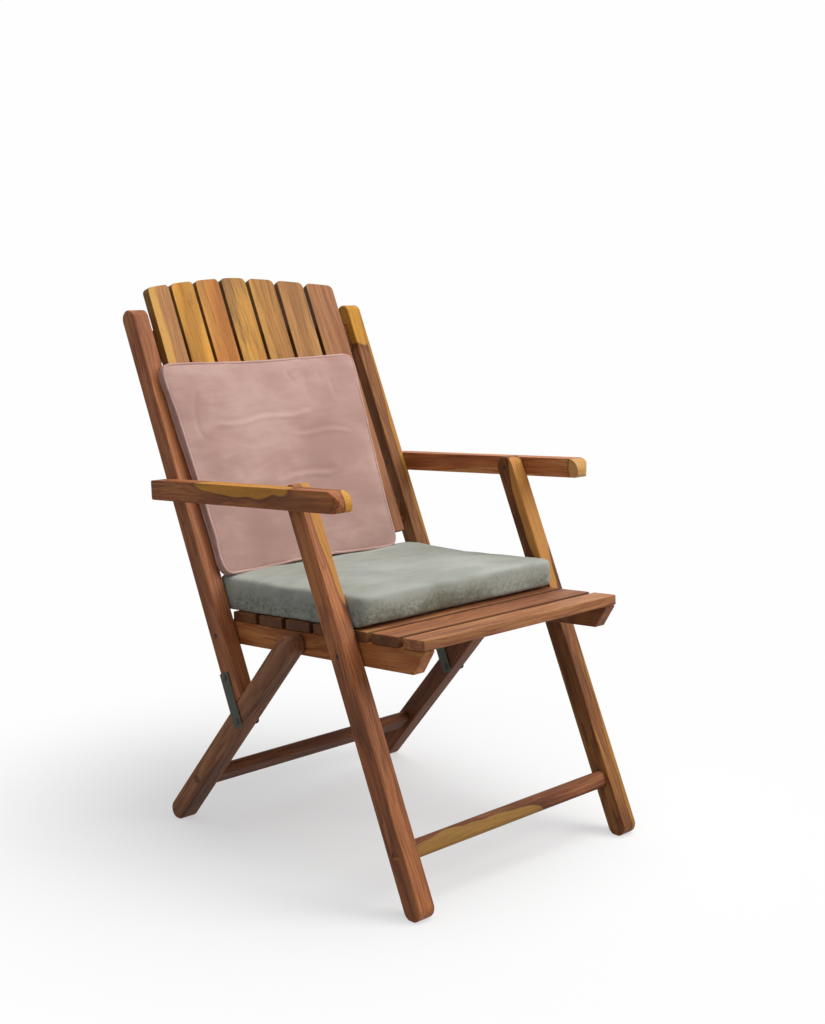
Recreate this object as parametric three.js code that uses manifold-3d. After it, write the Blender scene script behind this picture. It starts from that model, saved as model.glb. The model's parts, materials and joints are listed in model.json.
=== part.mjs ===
// Folding teak armchair with a slatted seat and back, two loose velvet cushions and steel straps.
// Millimetres, +Z up, the sitter faces -Y, the sitter's left is +X.
// Side view numbers are (y, z) with y counted backwards from a mark just ahead of the seat cushion.
// At the end the whole chair is moved so that the origin lies on the floor under the middle of it.
import * as THREE from 'three';
import { mergeVertices } from 'three/addons/utils/BufferGeometryUtils.js';
import Module from 'manifold-3d';

const wasm = await Module();
wasm.setup();

// Running gaps and small roundings shared by many pieces
const GAP = 0.3;
const BORE_PLAY = 0.4;
const WOOD_EASE = 2;
const SLAT_EASE = 1.6;
const METAL_EASE = 0.5;
const CUT_OVERRUN = 5;

// Layers across the chair, counted from the middle plane
const RAIL_INNER_X = 223.8;
const RAIL_THICK = 27.5;
const LEG_LAYER_GAP = 2.7;
const LEG_THICK = 36;
const ARM_WIDTH = 36;

// Seat frame in side view: the rails fall backwards by this share of the run
const SEAT_LINE_Z = 412.8;
const SEAT_DROP_SHARE = 0.08;
const RAIL_HEIGHT = 41;
const RAIL_FRONT_TOP_Y = -80;
const RAIL_FRONT_UNDERCUT = 12.5;
const RAIL_REAR_Y = 429;
const RAIL_REAR_ROUND = 9;
const RAIL_FRONT_ROUND = 3;

// Pivots on the rails
const FRONT_PIVOT_Y = 84;
const REAR_PIVOT_Y = 223;
const BACK_PIVOT_Y = 407;

// Front legs and back stiles lean back by the same angle, the armrest pivots lie along them
const LEAN_DEG = 25;
const ARM_PIVOT_REACH = 280;
const FRONT_LEG_DEPTH = 38;
const FRONT_LEG_BELOW = 428.2;
const FRONT_LEG_ABOVE_PIVOT = 2;
const STILE_DEPTH = 35;
const STILE_REACH = 611;
const STILE_CUT_GAP = 1;

// Rear legs
const REAR_LEG_DEPTH = 37;
const REAR_FOOT_Y = 526;
const REAR_FOOT_Z = 17.6;

// Seat slats
const SEAT_SLAT_COUNT = 7;
const SEAT_SLAT_THICK = 18;
const SEAT_SLAT_WIDTH = 62;
const SEAT_SLAT_PITCH = 72;
const SEAT_FRONT_SLAT_WIDTH = 49;
const SEAT_SECOND_SLAT_Y = -19.5;
const SLAT_CORNER = 3;

// Back slats and the curved cross rails that carry them: the back is hollow from side to side
const BACK_CURVE_RADIUS = 975;
const BACK_CURVE_DEEPEST = 15.8;
const BACK_SLAT_COUNT = 7;
const BACK_SLAT_WIDTH = 60.8;
const BACK_SLAT_GAP = 8;
const BACK_SLAT_THICK = 16;
const BACK_SLAT_START = 132;
const BACK_SLAT_TOP_MIDDLE = 698;
const BACK_SLAT_TOP_DROP = 36;
const BACK_SLAT_TOP_POWER = 1.6;
const BACK_SLAT_TOP_ROUND = 10;
const CROSS_RAIL_THICK = 14;
const CROSS_RAIL_LOWER_HEIGHT = 38;
const CROSS_RAIL_UPPER_HEIGHT = 60;
const CROSS_RAIL_LOWER_REACH = 172;
const CROSS_RAIL_UPPER_BELOW_TOP = 51;
const CROSS_TENON_LONG = 14;
const CROSS_TENON_ROOT = 5;
const CROSS_TENON_THICK = 9;
const CROSS_TENON_HEIGHT = 24;

// Armrests
const ARM_HEIGHT = 35.5;
const ARM_FRONT_REACH = 151;
const ARM_REAR_REACH = 22;
const ARM_NOSE_TOP_ROUND = 24;
const ARM_NOSE_LOW_ROUND = 9;
const ARM_TAIL_ROUND = 4;
const ARM_PLAN_ROUND = 16;

// Stretchers between the legs, with round tenons that show on the outside
const FRONT_STRETCHER_HEIGHT = 31;
const FRONT_STRETCHER_THICK = 22;
const FRONT_STRETCHER_REACH = 337;
const REAR_STRETCHER_HEIGHT = 38;
const REAR_STRETCHER_THICK = 23;
const REAR_STRETCHER_REACH = 386.5;
const STRETCHER_CORNER = 8;
const STRETCHER_TENON_RADIUS = 7.5;

// Steel straps
const STRAP_WIDTH = 24;
const STRAP_THICK = 2.2;
const STRAP_PIVOTS_APART = 82;
const STRAP_TOP_PAST = 8.5;
const STRAP_TOP_ROUND = 1.5;
const STRAP_LOW_ROUND = 8;
const STRAP_LOW_BELOW_AXIS = 9.5;
const STRAP_SET_BACK = 5.5;
const STRAP_FACE_GAP = 0.3;

// Bolts, washers and rivets
const BOLT_RADIUS = 4;
const BOLT_RECESS = 1.2;
const BOLT_HEAD_RADIUS = 7.5;
const BOLT_HEAD_THICK = 5.5;
const BOLT_HEAD_SIDES = 6;
const REAR_LEG_BOLT_DEPTH = 27;
const ARM_BOLT_DEPTH = 26;
const ARM_BOLT_SUNK = 0.5;
const WASHER_RADIUS = 10.5;
const RIVET_RADIUS = 3;
const RIVET_HEAD_RADIUS = 5.5;
const RIVET_HEAD_HIGH = 2.2;

// Cushions: the top swells by the crown, the sides are drawn in between the corners
const SEAT_PAD_SIDE_GAP = 4;
const SEAT_PAD_FRONT_Y = 61;
const SEAT_PAD_REAR_Y = 445;
const SEAT_PAD_THICK = 59;
const SEAT_PAD_CROWN = 6;
const SEAT_PAD_CORNER = 28;
const BACK_PAD_STILE_LAP = 9;
const BACK_PAD_LEFT_GAP = 52;
const BACK_PAD_START = 97;
const BACK_PAD_HEIGHT = 396;
const BACK_PAD_THICK = 28;
const BACK_PAD_CROWN = 12;
const BACK_PAD_CORNER = 22;
const PAD_DRAW_IN = 5;
const PAD_SQUARENESS = 6;
const PAD_REST_SQUARENESS = 28;

// Points of an outline closer than this are one point
const MERGE_DISTANCE = 0.01;

// Facet counts
const ROUND_STEPS = 5;
const BORE_SIDES = 16;
const PAD_CORNER_STEPS = 7;
const PAD_SIDE_STEPS = 5;
const PAD_LEVELS = 18;
const CURVE_STEPS = 16;
const EASE_STEPS = 1;
const DOME_STEPS = 3;

// Derived layers
const railOuterX = RAIL_INNER_X + RAIL_THICK;
const legInnerX = railOuterX + LEG_LAYER_GAP;
const legOuterX = legInnerX + LEG_THICK;
const armInnerX = legOuterX + GAP;
const armOuterX = armInnerX + ARM_WIDTH;

// Side view directions
const lean = THREE.MathUtils.degToRad(LEAN_DEG);
const leanDir = new THREE.Vector2(Math.sin(lean), Math.cos(lean));
const backFront = new THREE.Vector2(-leanDir.y, leanDir.x);
const seatDir = new THREE.Vector2(1, -SEAT_DROP_SHARE).normalize();
const seatUp = new THREE.Vector2(-seatDir.y, seatDir.x);

// Centre line of the rails at a given y
function onRail(y) {
  return new THREE.Vector2(y, SEAT_LINE_Z - SEAT_DROP_SHARE * y);
}

// Point a distance away from another along a direction
function step(from, dir, far) {
  return new THREE.Vector2(from.x + dir.x * far, from.y + dir.y * far);
}

// Turned a quarter left, seen from the sitter's left
function quarter(dir) {
  return new THREE.Vector2(-dir.y, dir.x);
}

// Pivots
const frontPivot = onRail(FRONT_PIVOT_Y);
const rearPivot = onRail(REAR_PIVOT_Y);
const backPivot = onRail(BACK_PIVOT_Y);
const armFrontPivot = step(frontPivot, leanDir, ARM_PIVOT_REACH);
const armRearPivot = step(backPivot, leanDir, ARM_PIVOT_REACH);
const armDir = armRearPivot.clone().sub(armFrontPivot).normalize();
const rearFoot = new THREE.Vector2(REAR_FOOT_Y, REAR_FOOT_Z);
const rearLegDir = rearFoot.clone().sub(rearPivot).normalize();
const rearLegBackward = quarter(rearLegDir);

// Where the line of the stile meets the centre line of the rear leg: the lower strap pivot
function crossing(fromA, dirA, fromB, dirB) {
  const between = fromB.clone().sub(fromA);
  const share = between.cross(dirB) / dirA.cross(dirB);
  return step(fromA, dirA, share);
}
const stileMeetsLeg = crossing(backPivot, leanDir, rearPivot, rearLegDir);
const strapLow = step(step(stileMeetsLeg, leanDir, -STRAP_LOW_BELOW_AXIS), backFront, -STRAP_SET_BACK);
const strapHigh = step(strapLow, leanDir, STRAP_PIVOTS_APART);

// Outline through corner points, each with its own rounding
function outline(corners) {
  const points = [];
  const count = corners.length;
  for (let i = 0; i < count; i += 1) {
    const here = corners[i].at;
    const round = corners[i].round;
    const toPrev = corners[(i + count - 1) % count].at.clone().sub(here).normalize();
    const toNext = corners[(i + 1) % count].at.clone().sub(here).normalize();
    if (round === 0) {
      points.push(here.clone());
      continue;
    }
    const half = Math.acos(THREE.MathUtils.clamp(toPrev.dot(toNext), -1, 1)) / 2;
    const bisector = toPrev.clone().add(toNext).normalize();
    const centre = step(here, bisector, round / Math.sin(half));
    const start = step(here, toPrev, round / Math.tan(half)).sub(centre);
    const end = step(here, toNext, round / Math.tan(half)).sub(centre);
    const from = start.angle();
    let sweep = end.angle() - from;
    sweep = Math.atan2(Math.sin(sweep), Math.cos(sweep));
    for (let k = 0; k <= ROUND_STEPS; k += 1) {
      const angle = from + sweep * k / ROUND_STEPS;
      points.push(new THREE.Vector2(
        centre.x + round * Math.cos(angle),
        centre.y + round * Math.sin(angle),
      ));
    }
  }
  const kept = points.filter((p, i) => {
    const next = points[(i + 1) % points.length];
    return p.distanceTo(next) > MERGE_DISTANCE;
  });
  return new THREE.Shape(kept);
}

// Four corners of a bar with straight sides: from one end to the other along a direction
function barCorners(from, dir, reach, depth, roundFrom, roundTo) {
  const across = quarter(dir);
  const to = step(from, dir, reach);
  return [
    { at: step(from, across, -depth / 2), round: roundFrom },
    { at: step(to, across, -depth / 2), round: roundTo },
    { at: step(to, across, depth / 2), round: roundTo },
    { at: step(from, across, depth / 2), round: roundFrom },
  ];
}

// Solid from an outline with eased edges, laid on a plane given by its axes
function slab(shape, origin, axisU, axisV, start, end, ease) {
  const settings = {
    depth: end - start - 2 * ease,
    bevelEnabled: ease > 0,
    bevelThickness: ease,
    bevelSize: ease,
    bevelOffset: -ease,
    bevelSegments: EASE_STEPS,
  };
  const geometry = new THREE.ExtrudeGeometry(shape, settings);
  geometry.translate(0, 0, start + ease);
  const axisW = new THREE.Vector3().crossVectors(axisU, axisV);
  const place = new THREE.Matrix4().makeBasis(axisU, axisV, axisW).setPosition(origin);
  geometry.applyMatrix4(place);
  return solid(geometry);
}

// Side view outline carried across the chair from one x to another
function across(shape, xFrom, xTo, ease) {
  const axisY = new THREE.Vector3(0, 1, 0);
  const axisZ = new THREE.Vector3(0, 0, 1);
  return slab(shape, new THREE.Vector3(), axisY, axisZ, xFrom, xTo, ease);
}

// Closed geometry as a solid for cutting and joining
function solid(geometry) {
  geometry.deleteAttribute('normal');
  geometry.deleteAttribute('uv');
  const merged = mergeVertices(geometry);
  return new wasm.Manifold(new wasm.Mesh({
    numProp: 3,
    vertProperties: merged.attributes.position.array,
    triVerts: new Uint32Array(merged.index.array),
  }));
}

// Round bar along x through a side view point
function rod(at, radius, xFrom, xTo, sides = BORE_SIDES) {
  const geometry = new THREE.CylinderGeometry(radius, radius, xTo - xFrom, sides);
  geometry.rotateZ(Math.PI / 2);
  geometry.translate((xFrom + xTo) / 2, at.x, at.y);
  return solid(geometry);
}

// Domed head on a face: swells from the face in the direction of the sign
function dome(at, radius, high, faceX, sign) {
  const profile = [new THREE.Vector2(0, 0)];
  for (let k = 0; k <= DOME_STEPS; k += 1) {
    const angle = Math.PI / 2 * k / DOME_STEPS;
    profile.push(new THREE.Vector2(radius * Math.cos(angle), high * Math.sin(angle)));
  }
  profile[profile.length - 1].x = 0;
  const geometry = new THREE.LatheGeometry(profile, BORE_SIDES);
  geometry.rotateZ(-sign * Math.PI / 2);
  geometry.translate(faceX, at.x, at.y);
  return solid(geometry);
}

// Order two x values for a side of the chair: 1 is the sitter's left, -1 the right
function sideRange(sign, near, far) {
  return sign > 0 ? [near, far] : [-far, -near];
}

const group = new THREE.Group();
group.name = 'folding_teak_armchair';

// Add a named piece with its own material
function piece(name, body, colour, roughness, metalness) {
  const mesh = body.getMesh();
  const geometry = new THREE.BufferGeometry();
  geometry.setAttribute('position', new THREE.BufferAttribute(new Float32Array(mesh.vertProperties), 3));
  geometry.setIndex(new THREE.BufferAttribute(new Uint32Array(mesh.triVerts), 1));
  geometry.computeVertexNormals();
  const material = new THREE.MeshStandardMaterial({ color: colour, roughness, metalness });
  const part = new THREE.Mesh(geometry, material);
  part.name = name;
  group.add(part);
}

// Oiled teak, darker on the side faces, golden where sapwood shows
const WOOD_ROUGHNESS = 0.6;
function wood(name, body, colour) {
  piece(name, body, colour, WOOD_ROUGHNESS, 0);
}
const STEEL_ROUGHNESS = 0.55;
const STEEL_METALNESS = 0.8;
const STEEL_COLOUR = '#3e413a';
function steel(name, body) {
  piece(name, body, STEEL_COLOUR, STEEL_ROUGHNESS, STEEL_METALNESS);
}

const SIDES = [
  { sign: -1, label: 'right' },
  { sign: 1, label: 'left' },
];

// Seat rails: undercut nose in front, rounded tail, three pivot bores
function seatRail(sign) {
  const half = RAIL_HEIGHT / 2;
  const top = (y) => step(onRail(y), seatUp, half);
  const low = (y) => step(onRail(y), seatUp, -half);
  const shape = outline([
    { at: low(RAIL_FRONT_TOP_Y + RAIL_FRONT_UNDERCUT), round: RAIL_FRONT_ROUND },
    { at: low(RAIL_REAR_Y), round: RAIL_REAR_ROUND },
    { at: top(RAIL_REAR_Y), round: RAIL_REAR_ROUND },
    { at: top(RAIL_FRONT_TOP_Y), round: RAIL_FRONT_ROUND },
  ]);
  const [from, to] = sideRange(sign, RAIL_INNER_X, railOuterX);
  let body = across(shape, from, to, WOOD_EASE);
  for (const pivot of [frontPivot, rearPivot, backPivot]) {
    body = body.subtract(rod(pivot, BOLT_RADIUS + BORE_PLAY, from - CUT_OVERRUN, to + CUT_OVERRUN));
  }
  return body;
}

// Seat slats lie on the rails, ends flush with their outer faces
function seatSlat(index) {
  const first = index === 0;
  const startY = first ? RAIL_FRONT_TOP_Y : SEAT_SECOND_SLAT_Y + SEAT_SLAT_PITCH * (index - 1);
  const width = first ? SEAT_FRONT_SLAT_WIDTH : SEAT_SLAT_WIDTH;
  const lift = RAIL_HEIGHT / 2 + GAP + SEAT_SLAT_THICK / 2;
  const from = step(onRail(startY), seatUp, lift);
  const shape = outline(barCorners(from, seatDir, width, SEAT_SLAT_THICK, SLAT_CORNER, SLAT_CORNER));
  return across(shape, -railOuterX, railOuterX, SLAT_EASE);
}

// Round foot worn flat where it stands on the floor
function standOnFloor(body) {
  return body.trimByPlane([0, 0, 1], 0);
}

// Front leg: round foot, round head just above the armrest, bores for seat, arm and stretcher
const frontStretcherAt = step(frontPivot, leanDir, -FRONT_STRETCHER_REACH);
function frontLeg(sign) {
  const half = FRONT_LEG_DEPTH / 2;
  const foot = step(frontPivot, leanDir, -FRONT_LEG_BELOW - half);
  const reach = FRONT_LEG_BELOW + ARM_PIVOT_REACH + FRONT_LEG_ABOVE_PIVOT + FRONT_LEG_DEPTH;
  const shape = outline(barCorners(foot, leanDir, reach, FRONT_LEG_DEPTH, half, half));
  const [from, to] = sideRange(sign, legInnerX, legOuterX);
  const bore = BOLT_RADIUS + BORE_PLAY;
  const body = standOnFloor(across(shape, from, to, WOOD_EASE));
  return body
    .subtract(rod(frontPivot, bore, from - CUT_OVERRUN, to + CUT_OVERRUN))
    .subtract(rod(armFrontPivot, bore, from - CUT_OVERRUN, to + CUT_OVERRUN))
    .subtract(rod(frontStretcherAt, STRETCHER_TENON_RADIUS + BORE_PLAY, from - CUT_OVERRUN, to + CUT_OVERRUN));
}

// Rear leg: round at both ends, blind bore for its bolt, bore for the stretcher tenon
const rearStretcherAt = step(rearPivot, rearLegDir, REAR_STRETCHER_REACH);
function rearLeg(sign) {
  const half = REAR_LEG_DEPTH / 2;
  const top = step(rearPivot, rearLegDir, -half);
  const reach = rearPivot.distanceTo(rearFoot) + REAR_LEG_DEPTH;
  const shape = outline(barCorners(top, rearLegDir, reach, REAR_LEG_DEPTH, half, half));
  const [from, to] = sideRange(sign, legInnerX, legOuterX);
  const [boreFrom, boreTo] = sideRange(sign, legInnerX - CUT_OVERRUN, legInnerX + REAR_LEG_BOLT_DEPTH);
  const body = standOnFloor(across(shape, from, to, WOOD_EASE));
  return body
    .subtract(rod(rearPivot, BOLT_RADIUS + BORE_PLAY, boreFrom, boreTo))
    .subtract(rod(rearStretcherAt, STRETCHER_TENON_RADIUS + BORE_PLAY, from - CUT_OVERRUN, to + CUT_OVERRUN));
}

// Stretcher between two legs: rounded bar with a round tenon at each end
function stretcher(at, dir, height, thick) {
  const from = step(at, dir, -height / 2);
  const corners = barCorners(from, dir, height, thick, STRETCHER_CORNER, STRETCHER_CORNER);
  const bar = across(outline(corners), -(legInnerX - GAP), legInnerX - GAP, SLAT_EASE);
  return bar.add(rod(at, STRETCHER_TENON_RADIUS, -legOuterX, legOuterX));
}

// Back stile: foot cut to the slope of the rear leg, round top
function backStile(sign) {
  const half = STILE_DEPTH / 2;
  const stileAcross = quarter(leanDir);
  const cutFrom = step(rearPivot, rearLegBackward, REAR_LEG_DEPTH / 2 + STILE_CUT_GAP);
  const frontLow = crossing(step(backPivot, stileAcross, half), leanDir, cutFrom, rearLegDir);
  const backLow = crossing(step(backPivot, stileAcross, -half), leanDir, cutFrom, rearLegDir);
  const top = step(backPivot, leanDir, STILE_REACH + half);
  const shape = outline([
    { at: backLow, round: 0 },
    { at: step(top, stileAcross, -half), round: half },
    { at: step(top, stileAcross, half), round: half },
    { at: frontLow, round: 0 },
  ]);
  const [from, to] = sideRange(sign, legInnerX, legOuterX);
  const bore = BOLT_RADIUS + BORE_PLAY;
  let body = across(shape, from, to, WOOD_EASE)
    .subtract(rod(backPivot, bore, from - CUT_OVERRUN, to + CUT_OVERRUN))
    .subtract(rod(armRearPivot, bore, from - CUT_OVERRUN, to + CUT_OVERRUN))
    .subtract(rod(strapHigh, RIVET_RADIUS + BORE_PLAY, from - CUT_OVERRUN, to + CUT_OVERRUN));
  for (const { reach } of Object.values(crossRails)) {
    body = body.subtract(crossTenon(sign, reach, GAP));
  }
  return body;
}

// Reaches of the two cross rails along the stiles, and their heights
const crossRails = {
  lower: { reach: CROSS_RAIL_LOWER_REACH, height: CROSS_RAIL_LOWER_HEIGHT },
  upper: { reach: STILE_REACH - CROSS_RAIL_UPPER_BELOW_TOP, height: CROSS_RAIL_UPPER_HEIGHT },
};

// Radii of the cross rail faces around the axis of the curve; flat slats touch with their edges
const slatRearRadius = Math.hypot(BACK_CURVE_RADIUS + BACK_SLAT_THICK, BACK_SLAT_WIDTH / 2);
const railFrontRadius = slatRearRadius + GAP;
const railRearRadius = railFrontRadius + CROSS_RAIL_THICK;

// Distance of a point of the curve in front of the middle plane of the stiles
function curveForward(radius, angle) {
  return BACK_CURVE_RADIUS - BACK_CURVE_DEEPEST - radius * Math.cos(angle);
}

// Tenon of a cross rail, or with some play the mortise for it
function crossTenon(sign, reach, play) {
  const middleRadius = (railFrontRadius + railRearRadius) / 2;
  const forward = curveForward(middleRadius, Math.asin(legInnerX / middleRadius));
  const centre = step(step(backPivot, leanDir, reach), backFront, forward);
  const start = step(centre, leanDir, -CROSS_TENON_HEIGHT / 2 - play);
  const corners = barCorners(start, leanDir, CROSS_TENON_HEIGHT + 2 * play, CROSS_TENON_THICK + 2 * play, 0, 0);
  const inside = play > 0 ? CUT_OVERRUN : CROSS_TENON_ROOT;
  const [from, to] = sideRange(sign, legInnerX - inside, legInnerX + CROSS_TENON_LONG + play);
  return across(outline(corners), from, to, 0);
}

// Cross rail behind the back slats, sawn to the curve and tenoned into the stiles
function crossRail({ reach, height }) {
  const endX = legInnerX - GAP;
  const corners = [];
  for (const [radius, turn] of [[railFrontRadius, 1], [railRearRadius, -1]]) {
    const endAngle = Math.asin(endX / radius);
    for (let k = 0; k <= CURVE_STEPS; k += 1) {
      const angle = turn * endAngle * (2 * k / CURVE_STEPS - 1);
      corners.push({ at: new THREE.Vector2(radius * Math.sin(angle), -curveForward(radius, angle)), round: 0 });
    }
  }
  const start = step(backPivot, leanDir, reach - height / 2);
  const origin = new THREE.Vector3(0, start.x, start.y);
  const axisX = new THREE.Vector3(1, 0, 0);
  const axisRear = new THREE.Vector3(0, -backFront.x, -backFront.y);
  const bar = slab(outline(corners), origin, axisX, axisRear, 0, height, SLAT_EASE);
  return bar.add(crossTenon(-1, reach, 0)).add(crossTenon(1, reach, 0));
}

// Back slats stand side by side along the curve, their tops follow one shallow arch
function backSlat(index) {
  const angle = (index - (BACK_SLAT_COUNT - 1) / 2) * (BACK_SLAT_WIDTH + BACK_SLAT_GAP) / BACK_CURVE_RADIUS;
  const half = BACK_SLAT_WIDTH / 2;
  const middle = BACK_CURVE_RADIUS * Math.sin(angle);
  const farthest = (BACK_SLAT_COUNT - 1) / 2 * (BACK_SLAT_WIDTH + BACK_SLAT_GAP) + half;
  const arch = (x) => {
    const share = Math.abs(middle + x) / farthest;
    return BACK_SLAT_TOP_MIDDLE - BACK_SLAT_TOP_DROP * share ** BACK_SLAT_TOP_POWER;
  };
  const shape = outline([
    { at: new THREE.Vector2(-half, BACK_SLAT_START), round: SLAT_CORNER },
    { at: new THREE.Vector2(half, BACK_SLAT_START), round: SLAT_CORNER },
    { at: new THREE.Vector2(half, arch(half)), round: BACK_SLAT_TOP_ROUND },
    { at: new THREE.Vector2(-half, arch(-half)), round: BACK_SLAT_TOP_ROUND },
  ]);
  const front = step(backPivot, backFront, curveForward(BACK_CURVE_RADIUS, angle));
  const origin = new THREE.Vector3(middle, front.x, front.y);
  const turn = Math.sin(angle);
  const axisAcross = new THREE.Vector3(Math.cos(angle), turn * backFront.x, turn * backFront.y);
  const axisUp = new THREE.Vector3(0, leanDir.x, leanDir.y);
  return slab(shape, origin, axisAcross, axisUp, -BACK_SLAT_THICK, 0, SLAT_EASE);
}

// Armrest: deep rounding on the nose, outer front corner rounded in plan, blind bores from inside
function armrest(sign) {
  const nose = step(armFrontPivot, armDir, -ARM_FRONT_REACH);
  const tail = step(armRearPivot, armDir, ARM_REAR_REACH);
  const up = quarter(armDir);
  const half = ARM_HEIGHT / 2;
  const shape = outline([
    { at: step(nose, up, -half), round: ARM_NOSE_LOW_ROUND },
    { at: step(tail, up, -half), round: ARM_TAIL_ROUND },
    { at: step(tail, up, half), round: ARM_TAIL_ROUND },
    { at: step(nose, up, half), round: ARM_NOSE_TOP_ROUND },
  ]);
  const [from, to] = sideRange(sign, armInnerX, armOuterX);
  const [boreFrom, boreTo] = sideRange(sign, armInnerX - CUT_OVERRUN, armInnerX + ARM_BOLT_DEPTH);
  let body = across(shape, from, to, WOOD_EASE).intersect(armPlan(sign, nose, tail));
  for (const pivot of [armFrontPivot, armRearPivot]) {
    body = body.subtract(rod(pivot, BOLT_RADIUS + BORE_PLAY, boreFrom, boreTo));
  }
  return body;
}

// Plan of the armrest, tall enough to trim all of it
function armPlan(sign, nose, tail) {
  const wide = (x) => sign * x;
  const corners = [
    { at: new THREE.Vector2(wide(armInnerX - CUT_OVERRUN), nose.x - GAP), round: 0 },
    { at: new THREE.Vector2(wide(armOuterX), nose.x), round: ARM_PLAN_ROUND },
    { at: new THREE.Vector2(wide(armOuterX), tail.x + CUT_OVERRUN), round: 0 },
    { at: new THREE.Vector2(wide(armInnerX - CUT_OVERRUN), tail.x + CUT_OVERRUN), round: 0 },
  ];
  if (sign < 0) {
    corners.reverse();
  }
  const axisX = new THREE.Vector3(1, 0, 0);
  const axisY = new THREE.Vector3(0, 1, 0);
  const low = Math.min(nose.y, tail.y) - ARM_HEIGHT;
  const high = Math.max(nose.y, tail.y) + ARM_HEIGHT;
  return slab(outline(corners), new THREE.Vector3(), axisX, axisY, low, high, 0);
}

// Flat steel strap from the stile end to the rear leg: square top, round lower end
function strap(xFrom, xTo) {
  const half = STRAP_WIDTH / 2;
  const side = quarter(leanDir);
  const top = step(strapHigh, leanDir, STRAP_TOP_PAST);
  const low = step(strapLow, leanDir, -half);
  const shape = outline([
    { at: step(low, side, -half), round: STRAP_LOW_ROUND },
    { at: step(top, side, -half), round: STRAP_TOP_ROUND },
    { at: step(top, side, half), round: STRAP_TOP_ROUND },
    { at: step(low, side, half), round: STRAP_LOW_ROUND },
  ]);
  let body = across(shape, xFrom, xTo, METAL_EASE);
  for (const pivot of [strapHigh, strapLow]) {
    body = body.subtract(rod(pivot, RIVET_RADIUS + BORE_PLAY, xFrom - CUT_OVERRUN, xTo + CUT_OVERRUN));
  }
  return body;
}

// Bolt from a hexagon head on the rail's inner face out to a given x
function railBolt(sign, pivot, endX) {
  const [from, to] = sideRange(sign, RAIL_INNER_X - GAP - BOLT_HEAD_THICK / 2, endX);
  const [headFrom, headTo] = sideRange(sign, RAIL_INNER_X - GAP - BOLT_HEAD_THICK, RAIL_INNER_X - GAP);
  return rod(pivot, BOLT_RADIUS, from, to)
    .add(rod(pivot, BOLT_HEAD_RADIUS, headFrom, headTo, BOLT_HEAD_SIDES));
}

// Armrest bolt, sunk a little below the inner face of the leg or stile
function armBolt(sign, pivot) {
  const endX = armInnerX + ARM_BOLT_DEPTH - GAP;
  const [from, to] = sideRange(sign, legInnerX + ARM_BOLT_SUNK, endX);
  return rod(pivot, BOLT_RADIUS, from, to);
}

// Washer that keeps rail and leg apart
function washer(sign, pivot) {
  const [from, to] = sideRange(sign, railOuterX + GAP, legInnerX - GAP);
  return rod(pivot, WASHER_RADIUS, from, to)
    .subtract(rod(pivot, BOLT_RADIUS + BORE_PLAY, from - CUT_OVERRUN, to + CUT_OVERRUN));
}

// Strap faces, counted from the middle plane
const strapOuterFrom = legOuterX + STRAP_FACE_GAP;
const strapOuterTo = strapOuterFrom + STRAP_THICK;
const strapInnerTo = legInnerX - STRAP_FACE_GAP;
const strapInnerFrom = strapInnerTo - STRAP_THICK;

// Rivet through both straps and the stile, domed at both ends
function rivetThrough(sign) {
  const outside = strapOuterTo + METAL_EASE;
  const inside = strapInnerFrom - METAL_EASE;
  const [from, to] = sideRange(sign, inside, outside);
  return rod(strapHigh, RIVET_RADIUS, from, to)
    .add(dome(strapHigh, RIVET_HEAD_RADIUS, RIVET_HEAD_HIGH, sign * outside, sign))
    .add(dome(strapHigh, RIVET_HEAD_RADIUS, RIVET_HEAD_HIGH, sign * inside, -sign));
}

// Short rivet in the lower end of one strap, its head away from the leg
function rivetShort(sign, legSideX, headSideX, headSign) {
  const [from, to] = sideRange(sign, Math.min(legSideX, headSideX), Math.max(legSideX, headSideX));
  return rod(strapLow, RIVET_RADIUS, from, to)
    .add(dome(strapLow, RIVET_HEAD_RADIUS, RIVET_HEAD_HIGH, sign * headSideX, sign * headSign));
}

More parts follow.
